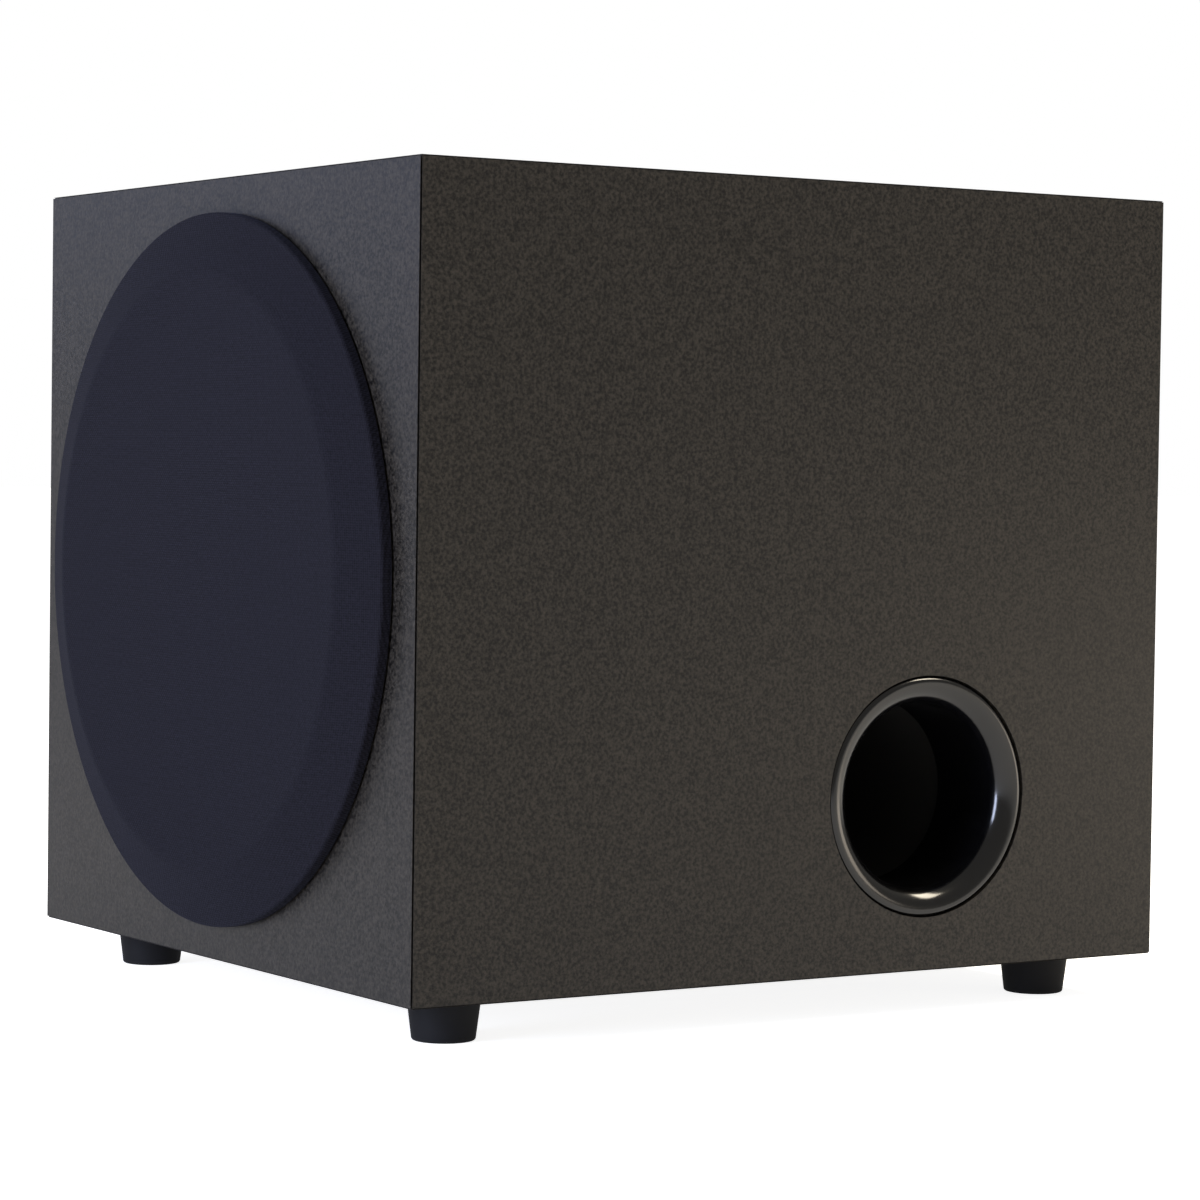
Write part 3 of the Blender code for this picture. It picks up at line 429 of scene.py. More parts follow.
def spun(outline, steps=128, closed=True):
    """Turn (radius, depth) corners in mm about local Z. A third number rounds one."""
    shape = bmesh.new()
    points = [shape.verts.new((c[0] * MM, 0, c[1] * MM)) for c in outline]
    following = points[1:] + (points[:1] if closed else [])
    for point, after in zip(points, following):
        if point.co.x or after.co.x:  # no edge runs along the axis itself
            shape.edges.new((point, after))
    for point, corner in zip(points, outline):
        if len(corner) == 3:
            round_edges(shape, [point], corner[2], 4, "VERTICES")
    bmesh.ops.spin(
        shape,
        geom=shape.verts[:] + shape.edges[:],
        cent=(0, 0, 0),
        axis=(0, 0, 1),
        angle=math.tau,
        steps=steps,
        use_merge=True,
    )
    bmesh.ops.remove_doubles(shape, verts=shape.verts, dist=0.002 * MM)
    bmesh.ops.recalc_face_normals(shape, faces=shape.faces)
    return shape


def upright(shape):
    """The edges of a shape that run along local Z, or nearly."""
    return [e for e in shape.edges if abs(e.verts[0].co.z - e.verts[1].co.z) > MM / 9]


def block(low, high, rounding=0.0, corner=0.0):
    """A box between two corners in mm. Rounding softens every edge, and corner rounds
    the four upright ones."""
    shape = bmesh.new()
    bmesh.ops.create_cube(shape, size=1)
    size = [(top - bottom) * MM for bottom, top in zip(low, high)]
    middle = [(top + bottom) / 2 * MM for bottom, top in zip(low, high)]
    bmesh.ops.scale(shape, vec=size, verts=shape.verts)
    bmesh.ops.translate(shape, vec=middle, verts=shape.verts)
    if corner:
        round_edges(shape, upright(shape), corner, 6)
    if rounding:
        sharp = [e for e in shape.edges if e.calc_face_angle() > math.radians(40)]
        round_edges(shape, sharp, rounding)
    return shape


def loose(shape, name):
    """An object of a shape, at the origin."""
    mesh = bpy.data.meshes.new(name)
    shape.to_mesh(mesh)
    shape.free()
    made = bpy.data.objects.new(name, mesh)
    bpy.context.scene.collection.objects.link(made)
    return made


def carve(shape, tools, operation="DIFFERENCE"):
    """Cut tools out of a shape, or join them to it, and take the result."""
    body = loose(shape, "body")
    cutters = [loose(tool, "tool") for tool in tools]
    for cutter in cutters:
        step = body.modifiers.new("carve", "BOOLEAN")
        step.operation = operation
        step.object = cutter
        step.solver = "EXACT"
    result = bmesh.new()
    result.from_object(body, bpy.context.evaluated_depsgraph_get())
    for used in (body, *cutters):
        mesh = used.data
        bpy.data.objects.remove(used)
        bpy.data.meshes.remove(mesh)
    return result


def keep(shape, name, material, body, replaced=(), at=None):
    """The finished piece: placed, smoothed, painted, and riding on its body."""
    if at is not None:
        bmesh.ops.transform(shape, matrix=at, verts=shape.verts)
    piece = loose(shape, name)
    piece.data.materials.append(material)
    piece.data.shade_smooth()
    piece.data.set_sharp_from_angle(angle=math.radians(35))
    even = piece.modifiers.new("even shading", "WEIGHTED_NORMAL")
    even.keep_sharp = True
    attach(piece, body)
    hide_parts(*replaced)
    print(name, "has", len(piece.data.polygons), "faces")
    return piece


def paint(piece, material, chosen):
    """A second material on the faces that a test chooses."""
    piece.data.materials.append(material)
    painted = [face for face in piece.data.polygons if chosen(face)]
    for face in painted:
        face.material_index = len(piece.data.materials) - 1
    print(piece.name, "has", len(painted), "faces in", material.name)


# %% [markdown]
# ## Where things are
#
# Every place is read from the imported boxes. The driver and grille share an axis that
# runs into the front, the port's runs in from the right side, and the amplifier's runs
# out of the back. Each gets a frame whose local Z is that axis, so that a depth means
# the same thing in an outline as it does on a drawing of the part.

# %% Where things are
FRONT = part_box("front_baffle")[0].y
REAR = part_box("rear_panel")[1].y
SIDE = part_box("right_panel")[1].x
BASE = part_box("bottom_panel")[0].z


def middle_of(node):
    """The middle of a node's packed box."""
    low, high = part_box(node)
    return [(least + most) / 2 for least, most in zip(low, high)]


CENTRE = middle_of("left_panel")[2]
PORT_Y, PORT_Z = middle_of("port_flare")[1:]
PEG_CIRCLE, SCREW_CIRCLE = 124, 103  # in mm: the grille's pegs and the driver's screws
INWARD = Matrix.Rotation(-math.pi / 2, 4, "X")
front = Matrix.Translation((0, FRONT, CENTRE)) @ INWARD
back = Matrix.Translation((0, REAR, CENTRE)) @ INWARD
side = Matrix.Translation((SIDE, PORT_Y, PORT_Z)) @ Matrix.Rotation(-math.pi / 2, 4, "Y")


def spread(circle, count=4, start=math.pi / 4):
    """(x, y) in mm of places spread evenly round a circle."""
    turns = [start + math.tau * k / count for k in range(count)]
    return [(circle * math.cos(turn), circle * math.sin(turn)) for turn in turns]


def shift(x, y, z=0.0):
    """A move in mm."""
    return Matrix.Translation((x * MM, y * MM, z * MM))


def moved(shape, matrix):
    """The same shape, moved or turned."""
    bmesh.ops.transform(shape, matrix=matrix, verts=shape.verts)
    return shape


print("port axis at y, z:", round(PORT_Y / MM, 1), round(PORT_Z / MM, 1))

# %% [markdown]
# ## The folded boards
#
# Top, bottom and sides are one sheet of MDF with V grooves milled almost through it,
# folded round into a ring, with the front folded in too. So every corner is a mitre,
# and the vinyl turns the corner in a tight radius. Each board starts as its packed
# box, and the corners of its inner face are drawn in by the board's thickness. The
# cut ends at the back are painted, and the inside is bare MDF.

# %% The folded boards
BOARD = 15.0
FOLD = 0.1  # the radius in mm that the vinyl turns a corner in
INSIDE = 100 * MM  # a face that looks at the box's middle from this far is inside it
mdf = grained("bare MDF", 1.3, 0.08, ("6b4e34", "8d6a48"), (0.85, 0.97))


def folded(node, axis):
    """A board from its packed box, mitred where it meets its neighbours."""
    low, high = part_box(node)
    shape = block(low / MM, high / MM)
    across = 2 - axis
    inner = low[axis] if (low[axis] + high[axis]) / 2 > (0, 0, CENTRE)[axis] else high[axis]
    middle = (low[across] + high[across]) / 2
    for corner in shape.verts:
        if abs(corner.co[axis] - inner) < MM:
            corner.co[across] += math.copysign(BOARD * MM, middle - corner.co[across])
            if corner.co.y < 0:
                corner.co.y += BOARD * MM
    round_edges(shape, shape.edges[:], FOLD)
    return shape


def finish_board(shape, name, node):
    """The vinyl-wrapped piece, with painted ends and mitres and a bare inside."""
    piece = keep(shape, name, vinyl, "cabinet", [node])
    heart = Vector((0, (FRONT + REAR) / 2, CENTRE))

    def bare(face):
        return face.area > 100 * MM**2 and (face.center - heart).dot(face.normal) < -INSIDE

    def mitred(face):
        return face.area > 50 * MM**2 and 0.6 < max(map(abs, face.normal)) < 0.8

    paint(piece, edge_paint, lambda face: face.normal.y > 0.9 and face.center.y > REAR - MM)
    paint(piece, mdf, bare)
    paint(piece, edge_paint, mitred)


hole = spun([(0, -15), (46.5, -15), (46.5, 4.1), (41, 4.1), (41, 30), (0, 30)])
port_hole = moved(hole, side)
pilots = []
for number in range(1, 5):
    x, y, _ = middle_of(f"foot_screw_{number}")
    spot = Matrix.Translation((x, y, BASE))
    pilots.append(moved(spun([(0, -9), (2.3, -9), (2.3, 13), (0, 13)], 24), spot))

finish_board(folded("top_panel", 2), "top_board", "top_panel")
finish_board(folded("left_panel", 0), "left_board", "left_panel")
finish_board(carve(folded("right_panel", 0), [port_hole]), "right_board", "right_panel")
finish_board(carve(folded("bottom_panel", 2), pilots), "bottom_board", "bottom_panel")

# %% [markdown]
# ## The baffle and the back
#
# The baffle closes the front with the same mitre, and is 3 mm thicker than the other
# boards. A rebate takes the driver's flange, and beside it are the four holes for the
# grille's sockets. It starts as a mitred block whose back face is inset and extruded.
# Turned cutters make the holes, and their small flares at the face leave the chamfer
# that a router bit would. The back is a flat board with the amplifier's window.

# %% The baffle and the back
low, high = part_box("front_baffle")
baffle = block(low / MM, (high.x / MM, low.y / MM + BOARD, high.z / MM))
for corner in baffle.verts:
    if corner.co.y > low.y + MM:
        corner.co.x -= math.copysign(BOARD * MM, corner.co.x)
        corner.co.z -= math.copysign(BOARD * MM, corner.co.z - CENTRE)
inside = [face for face in baffle.faces if face.normal.y > 0.9]
bmesh.ops.inset_region(baffle, faces=inside, thickness=0.1 * MM, use_even_offset=True)
grown = bmesh.ops.extrude_face_region(baffle, geom=inside)["geom"]
bmesh.ops.delete(baffle, geom=inside, context="FACES_ONLY")
pushed = [item for item in grown if isinstance(item, bmesh.types.BMVert)]
bmesh.ops.translate(baffle, verts=pushed, vec=(0, 3 * MM, 0))
outer = [e for e in baffle.edges if all(abs(v.co.y - low.y) < MM for v in e.verts)]
round_edges(baffle, outer, FOLD)

mouth = [(0, -15), (110, -15), (110, -1.2), (108.4, 0.4), (108.4, 6)]
mouth += [(97, 6), (97, 30), (0, 30)]
tools = [moved(spun(mouth), front)]
for x, y in spread(PEG_CIRCLE):
    cup = [(0, -15), (8, -15), (8, -2.3), (5.3, 0.4), (5.3, 30), (0, 30)]
    tools.append(moved(spun(cup, 32), front @ shift(x, y)))
for x, y in spread(SCREW_CIRCLE):
    pilot = [(0, 1), (2.3, 1), (2.3, 30), (0, 30)]
    tools.append(moved(spun(pilot, 24), front @ shift(x, y)))
finish_board(carve(baffle, tools), "front_board", "front_baffle")

low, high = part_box("rear_panel")
window = moved(block((-78, -98, -30), (78, 98, 30), corner=4), back)
rear = carve(block(low / MM, high / MM, 0.4), [window])
keep(rear, "rear_board", vinyl, "cabinet", ["rear_panel"])

# %% [markdown]
# ## The feet
#
# Four tapered rubber feet keep the box off the floor, so that its bass does not shake
# it along. A screw sits in a recess up the middle of each. Each foot is one outline
# with its corners rounded, turned in 64 steps. The screws are turned too, and two
# crossed blocks cut the recess in their heads.


# %% The feet
def cross(half, width, low, high):
    """Two crossed boxes of a half length and a half width in mm, between two depths."""
    return [
        block((-half, -width, low), (half, width, high)),
        block((-width, -half, low), (width, half, high)),
    ]


def screw(top, head, underside, tip, radius=2.0, head_radius=4.0):
    """A pan-headed screw between depths in mm, with a cross recess in its top."""
    outline = [(0, top), (head_radius, top, head), (head_radius, underside, 0.2)]
    outline += [(radius, underside), (radius, tip - 2.5), (0, tip)]
    return carve(spun(outline, 32), cross(0.55 * head_radius, 0.45, top - 1, top + 1.5))


foot = [(5, 0, 0.4), (11.7, 0, 0.9), (13.8, 16.7, 0.5), (2.4, 16.7), (2.4, 11), (5, 11)]
for number in range(1, 5):
    x, y, _ = middle_of(f"foot_{number}")
    spot = Matrix.Translation((x, y, 0))
    node = f"foot_{number}"
    keep(spun(foot, 64), f"rubber_foot_{number}", rubber, "cabinet", [node], spot)
    node = f"foot_screw_{number}"
    fixing = screw(7.8, 1.2, 10.7, 28.5)
    keep(fixing, f"foot_fixing_{number}", zinc, "cabinet", [node], spot)

# %% [markdown]
# ## The grille
#
# A moulded ring with a sloping face carries the cloth, and four pegs behind it grip
# rubber cups in the baffle. The cloth is cut as a 300 mm circle, stretched over the
# ring and glued behind its rim. It is turned as one open skin and given its thickness
# inwards. Its UV map unrolls it about its middle in metres, so the weave keeps its
# size on the slope.

# %% The grille
PLATEAU = 114 * MM  # the radius of the flat middle

ring = [(112, -0.3), (135.8, -0.3, 0.3), (135.8, -4.3, 0.5), (114, -11.3, 0.8)]
pegs = []
for x, y in spread(PEG_CIRCLE):
    peg = [(0, -3), (3, -3), (3, 12, 1.2), (0, 12)]
    pegs.append(moved(spun(peg, 32), shift(x, y)))
hoop = carve(spun([*ring, (112, -11.3, 0.5)]), pegs, "UNION")
keep(hoop, "grille_ring", textured_abs, "grille", ["grille_frame"], front)

skin = [(radius, -12.0) for radius in range(0, 111, 5)]
skin += [(114, -12, 1.8), (119, -10.44), (124, -8.89), (129, -7.33)]
skin += [(136.5, -5, 1.0), (136.5, -1)]
cover = spun(skin, 128, closed=False)
bmesh.ops.solidify(cover, geom=cover.faces[:], thickness=0.4 * MM)
unrolled = cover.loops.layers.uv.new("cloth")
for face in cover.faces:
    for loop in face.loops:
        radius, depth = loop.vert.co.xy.length, loop.vert.co.z
        along = min(radius, PLATEAU)
        along += math.hypot(max(radius - PLATEAU, 0), max(depth + 12 * MM, 0))
        loop[unrolled].uv = loop.vert.co.xy.normalized() * along
cover_piece = keep(
    cover, "grille_cloth_cover", cloth, "grille", ["grille_cloth"], front
)
cup = [(0, 16), (5, 16, 0.8), (5, 0.3, 0.3), (3.3, 0.3, 0.4), (3.3, 14.5), (0, 14.5)]
for number, (x, y) in enumerate(spread(PEG_CIRCLE), 1):
    spot, node = front @ shift(x, y), f"grille_socket_{number}"
    keep(spun(cup, 32), f"peg_cup_{number}", rubber, "cabinet", [node], spot)

# %% [markdown]
# ## The driver's frame
#
# Behind the grille is an 8-inch driver. Its basket is one steel pressing: a flange, a
# skirt, a slope with six windows that let the back of the cone breathe, and a seat for
# the magnet. The outline is turned, and six tapered prisms cut the windows. A rubber
# bead clamps the edge of the surround, and four screws hold the flange.

# %% The driver's frame
outline = [(108, 1, 0.8), (108, 4.4, 0.3), (95.5, 4.4), (95.5, 15, 1.5), (57.5, 48, 2)]
outline += [(57.5, 62, 0.5), (24, 62), (24, 59.8), (55, 59.8), (55, 49.4), (49.5, 49.4)]
outline += [(49.5, 47.4), (56, 47.4), (92.5, 14, 1.5), (92.5, 1, 0.5)]
openings = []
for k in range(6):
    prism = block((48, -1, 18), (110, 1, 44))
    for corner in prism.verts:
        corner.co.y *= (corner.co.x / MM - 12) * math.tan(math.pi / 6)
    round_edges(prism, upright(prism), 4, 4)
    openings.append(moved(prism, Matrix.Rotation(math.tau * k / 6, 4, "Z")))
for x, y in spread(SCREW_CIRCLE):
    openings.append(moved(spun([(0, -9), (2.3, -9), (2.3, 9), (0, 9)], 24), shift(x, y)))
basket = carve(spun(outline), openings)
keep(basket, "basket_pressing", powder, "cabinet", ["driver_basket"], front)

bead = spun([(93, -0.4, 0.3), (93, -2.4, 0.8), (98, -2.4, 0.8), (98, -0.4, 0.3)])
keep(bead, "trim_bead", rubber, "cabinet", ["driver_trim_ring"], front)
for number, (x, y) in enumerate(spread(SCREW_CIRCLE), 1):
    spot, node = front @ shift(x, y), f"driver_screw_{number}"
    fixing = screw(-1.9, 1.3, 0.7, 17)
    keep(fixing, f"basket_screw_{number}", powder, "cabinet", [node], spot)

# %% [markdown]
# ## Cone and suspension
#
# The paper cone curves down to the coil's former, and a domed cap keeps dust out of the
# motor. A half-roll of rubber joins the cone's edge to the basket, and the corrugated
# spider does the same at its neck. All are thin skins, so each is turned as one open
# line and given its thickness. The surround and spider follow the cone at their inner
# edge and the cabinet at their outer one: a weight per point says how much, from one
# at the cone's side to none at the basket's.


# %% Cone and suspension
CONE_EDGE, NECK = 73, 19.7  # the cone's outer and inner radius in mm


def sheet_of(outline, thickness, steps=128):
    """A thin turned skin whose thickness in mm goes away from the listener."""
    shape = spun(outline, steps, closed=False)
    bmesh.ops.solidify(shape, geom=shape.faces[:], thickness=thickness * MM)
    return shape


def cone_depth(radius):
    """The depth of the cone's front in mm: it is a little curved."""
    share = (CONE_EDGE - radius) / (CONE_EDGE - NECK)
    return 1 + 33.5 * share**1.15


def flexing(piece, inner, outer):
    """A piece that follows the cone at its inner radius and the cabinet at its outer."""
    piece.parent = None
    del piece["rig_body"]
    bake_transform(piece, "cabinet", "cone_assembly", (0, FRONT, CENTRE), (0, FRONT - MM, CENTRE))
    follow = piece.data.attributes["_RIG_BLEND"]
    for point, vertex in zip(follow.data, piece.data.vertices):
        radius = math.hypot(vertex.co.x, vertex.co.z - CENTRE) / MM
        share = min(max((outer - radius) / (outer - inner), 0), 1)
        point.value = share * share * (3 - 2 * share)


slant = [(77, 1), (75, 1)]
for k in range(25):
    radius = CONE_EDGE - (CONE_EDGE - NECK) * k / 24
    slant.append((radius, cone_depth(radius)))
cone = sheet_of(slant, 1.2)
keep(cone, "paper_cone", pulp, "cone_assembly", ["cone"], front)
dome = [(33 * k / 16, 12.5 + 11 * (k / 16) ** 2) for k in range(17)]
cap = sheet_of([*dome, (34.2, 24.1)], 0.6, 96)
keep(cap, "cap_dome", pulp, "cone_assembly", ["dust_cap"], front)

roll = [(73, -0.1), (76, -0.1)]
for k in range(21):
    turn = math.pi * k / 20
    roll.append((84.25 - 7.25 * math.cos(turn), -0.1 - 6.5 * math.sin(turn)))
surround = sheet_of([*roll, (94, -0.1), (97, -0.1)], 0.7)
surround = keep(surround, "surround_roll", rubber, "cabinet", ["surround"], front)
flexing(surround, 77, 91.5)

waves = [(19.7, 46.2), (23, 46.2)]
for k in range(1, 72):
    radius = 24 + 26 * k / 72
    waves.append((radius, 46.2 - 1.1 * math.sin(math.tau * 4.5 * k / 72)))
spider = sheet_of([*waves, (51, 46.2), (54, 46.2)], 0.5, 96)
spider = keep(spider, "spider_disc", resin_cloth, "cabinet", ["spider"], front)
flexing(spider, 23, 50)

# %% [markdown]
# ## The motor
#
# A ferrite ring magnet is clamped between a top plate and a yoke, and the coil hangs in
# the thin gap round the yoke's pole. They are turned in one piece each, with the small
# chamfers that a press or a grinder leaves. The former and the coil move with the cone.

# %% The motor
plate = [(21.5, 62.3, 0.4), (55, 62.3, 0.6), (55, 68.3, 0.6), (21.5, 68.3, 0.4)]
magnet = [(32, 68.6, 1), (60, 68.6, 1.2), (60, 86.6, 1.2), (32, 86.6, 1)]
yoke = [(6, 62.3, 0.6), (18.2, 62.3, 0.6), (18.2, 86.9), (55, 86.9, 0.8)]
yoke += [(55, 92.9, 1.2), (6, 92.9, 1)]
former = [(18.9, 31.5), (19.4, 31.5), (19.4, 72.6), (18.9, 72.6)]
coil = [(19.7, 58.3, 0.2), (20.7, 58.3, 0.2), (20.7, 72.3, 0.2), (19.7, 72.3, 0.2)]
for outline, name, material, body, slot, node in (
    (plate, "motor_top_plate", zinc, "cabinet", "zinc_steel", "top_plate"),
    (magnet, "ring_magnet", ferrite, "cabinet", "ferrite", "magnet"),
    (yoke, "pole_and_yoke", zinc, "cabinet", "zinc_steel", "yoke"),
    (former, "former_tube", film, "cone_assembly", "kapton_film", "coil_former"),
    (coil, "coil_winding", copper, "cone_assembly", "copper_wire", "voice_coil"),
):
    keep(spun(outline, 96), name, material, body, [node], front)

# %% [markdown]
# ## Terminals and leads
#
# The coil's current comes along two braided tinsel leads, from a strip riveted to the
# basket to the back of the cone. They have to flex for years, so they hang in a loose
# bow. A curve gives each its round section, and becomes a mesh whose points follow the
# cone by how near they are to it. The strip is resin board with two plated tabs.

# %% Terminals and leads
strip = block((-14, 72.7, 35.2), (14, 87.7, 36.8), corner=1.5)
tabs = [block((x - 3.1, 79.7, 36.3), (x + 3.1, 80.5, 44.8)) for x in (-8.5, 8.5)]
strip = carve(strip, tabs, "UNION")
node = "terminal_strip"
strip = keep(strip, "terminal_board", resin_cloth, "cabinet", [node], front)
paint(strip, nickel, lambda face: face.center.y > FRONT + 36.9 * MM)


def tube(name, route, radius):
    """A smooth round tube along points in mm, as a shape."""
    line = bpy.data.curves.new(name, "CURVE")
    line.dimensions = "3D"
    line.bevel_depth = radius * MM
    line.bevel_resolution = 3
    line.use_fill_caps = True
    spline = line.splines.new("NURBS")
    spline.points.add(len(route) - 1)
    for point, spot in zip(spline.points, route):
        point.co = (*[value * MM for value in spot], 1)
    spline.order_u = 3
    spline.use_endpoint_u = True
    spline.resolution_u = 6
    made = bpy.data.objects.new(name, line)
    bpy.context.scene.collection.objects.link(made)
    graph = bpy.context.evaluated_depsgraph_get()
    skin = bpy.data.meshes.new_from_object(made.evaluated_get(graph))
    shape = bmesh.new()
    shape.from_mesh(skin)
    bpy.data.meshes.remove(skin)
    bpy.data.objects.remove(made)
    bmesh.ops.remove_doubles(shape, verts=shape.verts, dist=0.002 * MM)
    return shape


near = cone_depth(40) + 2.6
for number, x in enumerate((-8.5, 8.5), 1):
    route = [(x, 40, near), (x, 43, near + 5), (x, 54, 31.5), (x, 68, 30), (x, 76, 31)]
    lead = tube("lead", [*route, (x, 77.5, 34.9)], 0.9)
    name, node = f"tinsel_braid_{number}", f"tinsel_lead_{number}"
    flexing(keep(lead, name, braid, "cabinet", [node], front), 42, 72)

# %% [markdown]
# ## The port
#
# Air moves in and out of the port, and a rounded mouth keeps it from hissing. The mouth
# is moulded in glossy ABS: it stands in a rebate in the side, rolls over at the face
# and runs down to a 71 mm throat. A quarter of a circle gives the roll, with enough
# points that its reflections stay smooth. Card tube carries the port on inside.

# %% The port
THROAT, LIP = 35.6, 8.4  # the radius of the throat and of the rounded mouth, in mm

flare = [(46.2, 3.8), (46.2, 1.2, 0.7), (45.1, 0.25), (44.6, 0.04)]
for k in range(33):
    turn = math.pi / 2 * k / 32
    flare.append((THROAT + LIP - LIP * math.sin(turn), LIP - LIP * math.cos(turn)))
flare += [(THROAT, 40, 0.6), (37.7, 40), (37.7, 15), (40.5, 3.8)]
flare = spun(flare, 160)
keep(flare, "port_mouth", gloss_abs, "cabinet", ["port_flare"], side)
pipe = [(38, 17, 0.4), (40.5, 17, 0.4), (40.5, 220, 0.6), (38, 220, 0.6)]
keep(spun(pipe), "port_pipe", card, "cabinet", ["port_tube"], side)

# %% [markdown]
# ## The amplifier's plate
#
# Everything electric stands on one aluminium plate, screwed over a window in the back.
# The plate is a block with rounded corners, and all its holes are cut at once. Ten
# screws hold it. Round each knob a scale of eleven strokes is printed. It is raised by
# a twentieth of a millimetre, so that it is a shape of its own.

# %% The amplifier's plate
LEVEL, CROSSOVER, LIGHT, KNOB_ROW = 45, 0, -40, -20  # in mm, from the middle of the back
JACKS, JACK_ROW = (42, 58), 30
KNOB_TURN = 150  # degrees that a knob turns each way
FACE = 4.1  # the plate's outer face, from the back of the cabinet

edge = [(x, y) for x in (-84, 84) for y in (-104, -35, 35, 104)] + [(0, -104), (0, 104)]
holes = [((x, y), 1.9) for x, y in edge]
holes += [((x, KNOB_ROW), 5.4) for x in (LEVEL, CROSSOVER)]
holes += [((x, JACK_ROW), 4.6) for x in JACKS]
holes.append(((LIGHT, KNOB_ROW), 2.9))
tools = []
for (x, y), radius in holes:
    drill = [(0, -9), (radius, -9), (radius, FACE - 0.2), (radius + 9, FACE + 8.8), (0, 13)]
    tools.append(moved(spun(drill, 32), shift(x, y)))
tools += [
    block((0.6, 27.9, -9), (9.4, 32.1, 9), corner=0.4),
    block((-54.1, 67.6, -9), (-25.9, 88.4, 9), corner=1),
    block((23.1, 67.9, -9), (36.9, 88.1, 9), corner=1),
]
panel = carve(block((-90, -110, 1.6), (90, 110, FACE), 0.35, corner=4), tools)
keep(panel, "amplifier_panel", plate_paint, "cabinet", ["amp_plate"], back)
for number, (x, y) in enumerate(edge, 1):
    fixing = screw(-FACE - 1.9, 1.1, -FACE - 0.05, 6, 1.6, 3.3)
    flipped = back @ shift(x, y) @ Matrix.Rotation(math.pi, 4, "X")
    keep(fixing, f"panel_screw_{number}", powder, "cabinet", at=flipped)

scale_marks = bmesh.new()
for x in (LEVEL, CROSSOVER):
    for k in range(11):
        length = 2.6 if k % 5 == 0 else 1.7
        tick = block((-0.3, -13 - length, FACE + 0.01), (0.3, -13, FACE + 0.06))
        turn = Matrix.Rotation(math.radians(30 * k - KNOB_TURN), 4, "Z")
        moved(tick, shift(x, KNOB_ROW) @ turn)
        ticked = bpy.data.meshes.new("tick")
        tick.to_mesh(ticked)
        tick.free()
        scale_marks.from_mesh(ticked)
        bpy.data.meshes.remove(ticked)
keep(scale_marks, "knob_scales", print_ink, "cabinet", at=back)

# %% [markdown]
# ## The heat sink
#
# An amplifier wastes heat, and an aluminium extrusion with thirteen fins gives it to
# the air. A grid has one column per fin and per gap. The fins' columns are extruded
# outwards and the whole border back to the foot, so the section is one closed shape,
# as it is when it leaves the die. The edges along the fins' tips get the small radius
# that the die leaves.

# %% The heat sink
FINS, FIN, WIDTH = 13, 1.8, 150.0
pitch = (WIDTH - FIN) / (FINS - 1)
sink = bmesh.new()
bmesh.ops.create_grid(sink, x_segments=2 * FINS - 1, y_segments=1, size=1)
columns = sorted({round(v.co.x, 4) for v in sink.verts})
for point in sink.verts:
    place = columns.index(round(point.co.x, 4))
    x = -WIDTH / 2 + pitch * (place // 2) + (FIN if place % 2 else 0)
    point.co = (x * MM, (-74 + 24 * math.copysign(1, point.co.y)) * MM, 7.4 * MM)
strips = sorted(sink.faces, key=lambda face: face.calc_center_median().x)
border = [e for e in sink.edges if e.is_boundary]
walls = bmesh.ops.extrude_edge_only(sink, edges=border)["geom"]
dropped = [item for item in walls if isinstance(item, bmesh.types.BMVert)]
bmesh.ops.translate(sink, verts=dropped, vec=(0, 0, -3 * MM))
rims = [e for e in sink.edges if e.is_boundary]
bmesh.ops.triangle_fill(sink, edges=rims, use_beauty=True)
for strip_face in strips[::2]:
    fin = bmesh.ops.extrude_discrete_faces(sink, faces=[strip_face])["faces"]
    bmesh.ops.translate(sink, verts=fin[0].verts[:], vec=(0, 0, 10.1 * MM))
bmesh.ops.remove_doubles(sink, verts=sink.verts, dist=0.002 * MM)
bmesh.ops.recalc_face_normals(sink, faces=sink.faces)
lips = [e for e in sink.edges if all(v.co.z > 17 * MM for v in e.verts)]
round_edges(sink, lips, 0.35)
keep(sink, "finned_heat_sink", anodised, "cabinet", ["heat_sink"], back)

# %% [markdown]
# ## The controls
#
# Two knobs set the level and the highest note that the subwoofer takes over. Each has
# a fluted side for the fingers, a slightly dished top and a white pointer. The outline
# is turned in 72 steps, and every third line down the side is drawn in, which makes
# the flutes. The pointer rides on the knob's own body, so it turns with it.

# %% The controls
FLUTE = 15  # degrees from one flute to the next
DRAWN_IN = 0.945  # a flute's radius, as a share of the knob's

for x, name in ((LEVEL, "level"), (CROSSOVER, "crossover")):
    outline = [(0, -6.2), (3, -6.2, 0.3), (3, 4.7), (10, 4.7, 0.4), (9.4, 17, 0.7)]
    outline += [(8.2, 17.9, 0.4), (0, 17.4)]
    knob = spun(outline, 72)
    for point in knob.verts:
        turn = math.degrees(math.atan2(point.co.y, point.co.x)) % FLUTE
        if point.co.xy.length > 9 * MM and min(turn, FLUTE - turn) < 1:
            point.co.xy *= DRAWN_IN
    spot = back @ shift(x, KNOB_ROW)
    body = f"{name}_control"
    keep(knob, f"{name}_fluted_knob", textured_abs, body, [f"{name}_knob"], spot)
    pointer = block((-0.5, -8.6, 17.2), (0.5, -2.5, 17.98), 0.08)
    keep(pointer, f"{name}_pointer", print_ink, body, at=spot)

# %% [markdown]
# ## The phono sockets
#
# A phono socket is a nickel-plated shell round a coloured insulator with a hole for the
# plug's pin: white for left and red for right. Each pair shares a moulded block behind
# the plate. All of it is turned or boxed, and the shells are joined to nothing, so the
# colours stay clean.

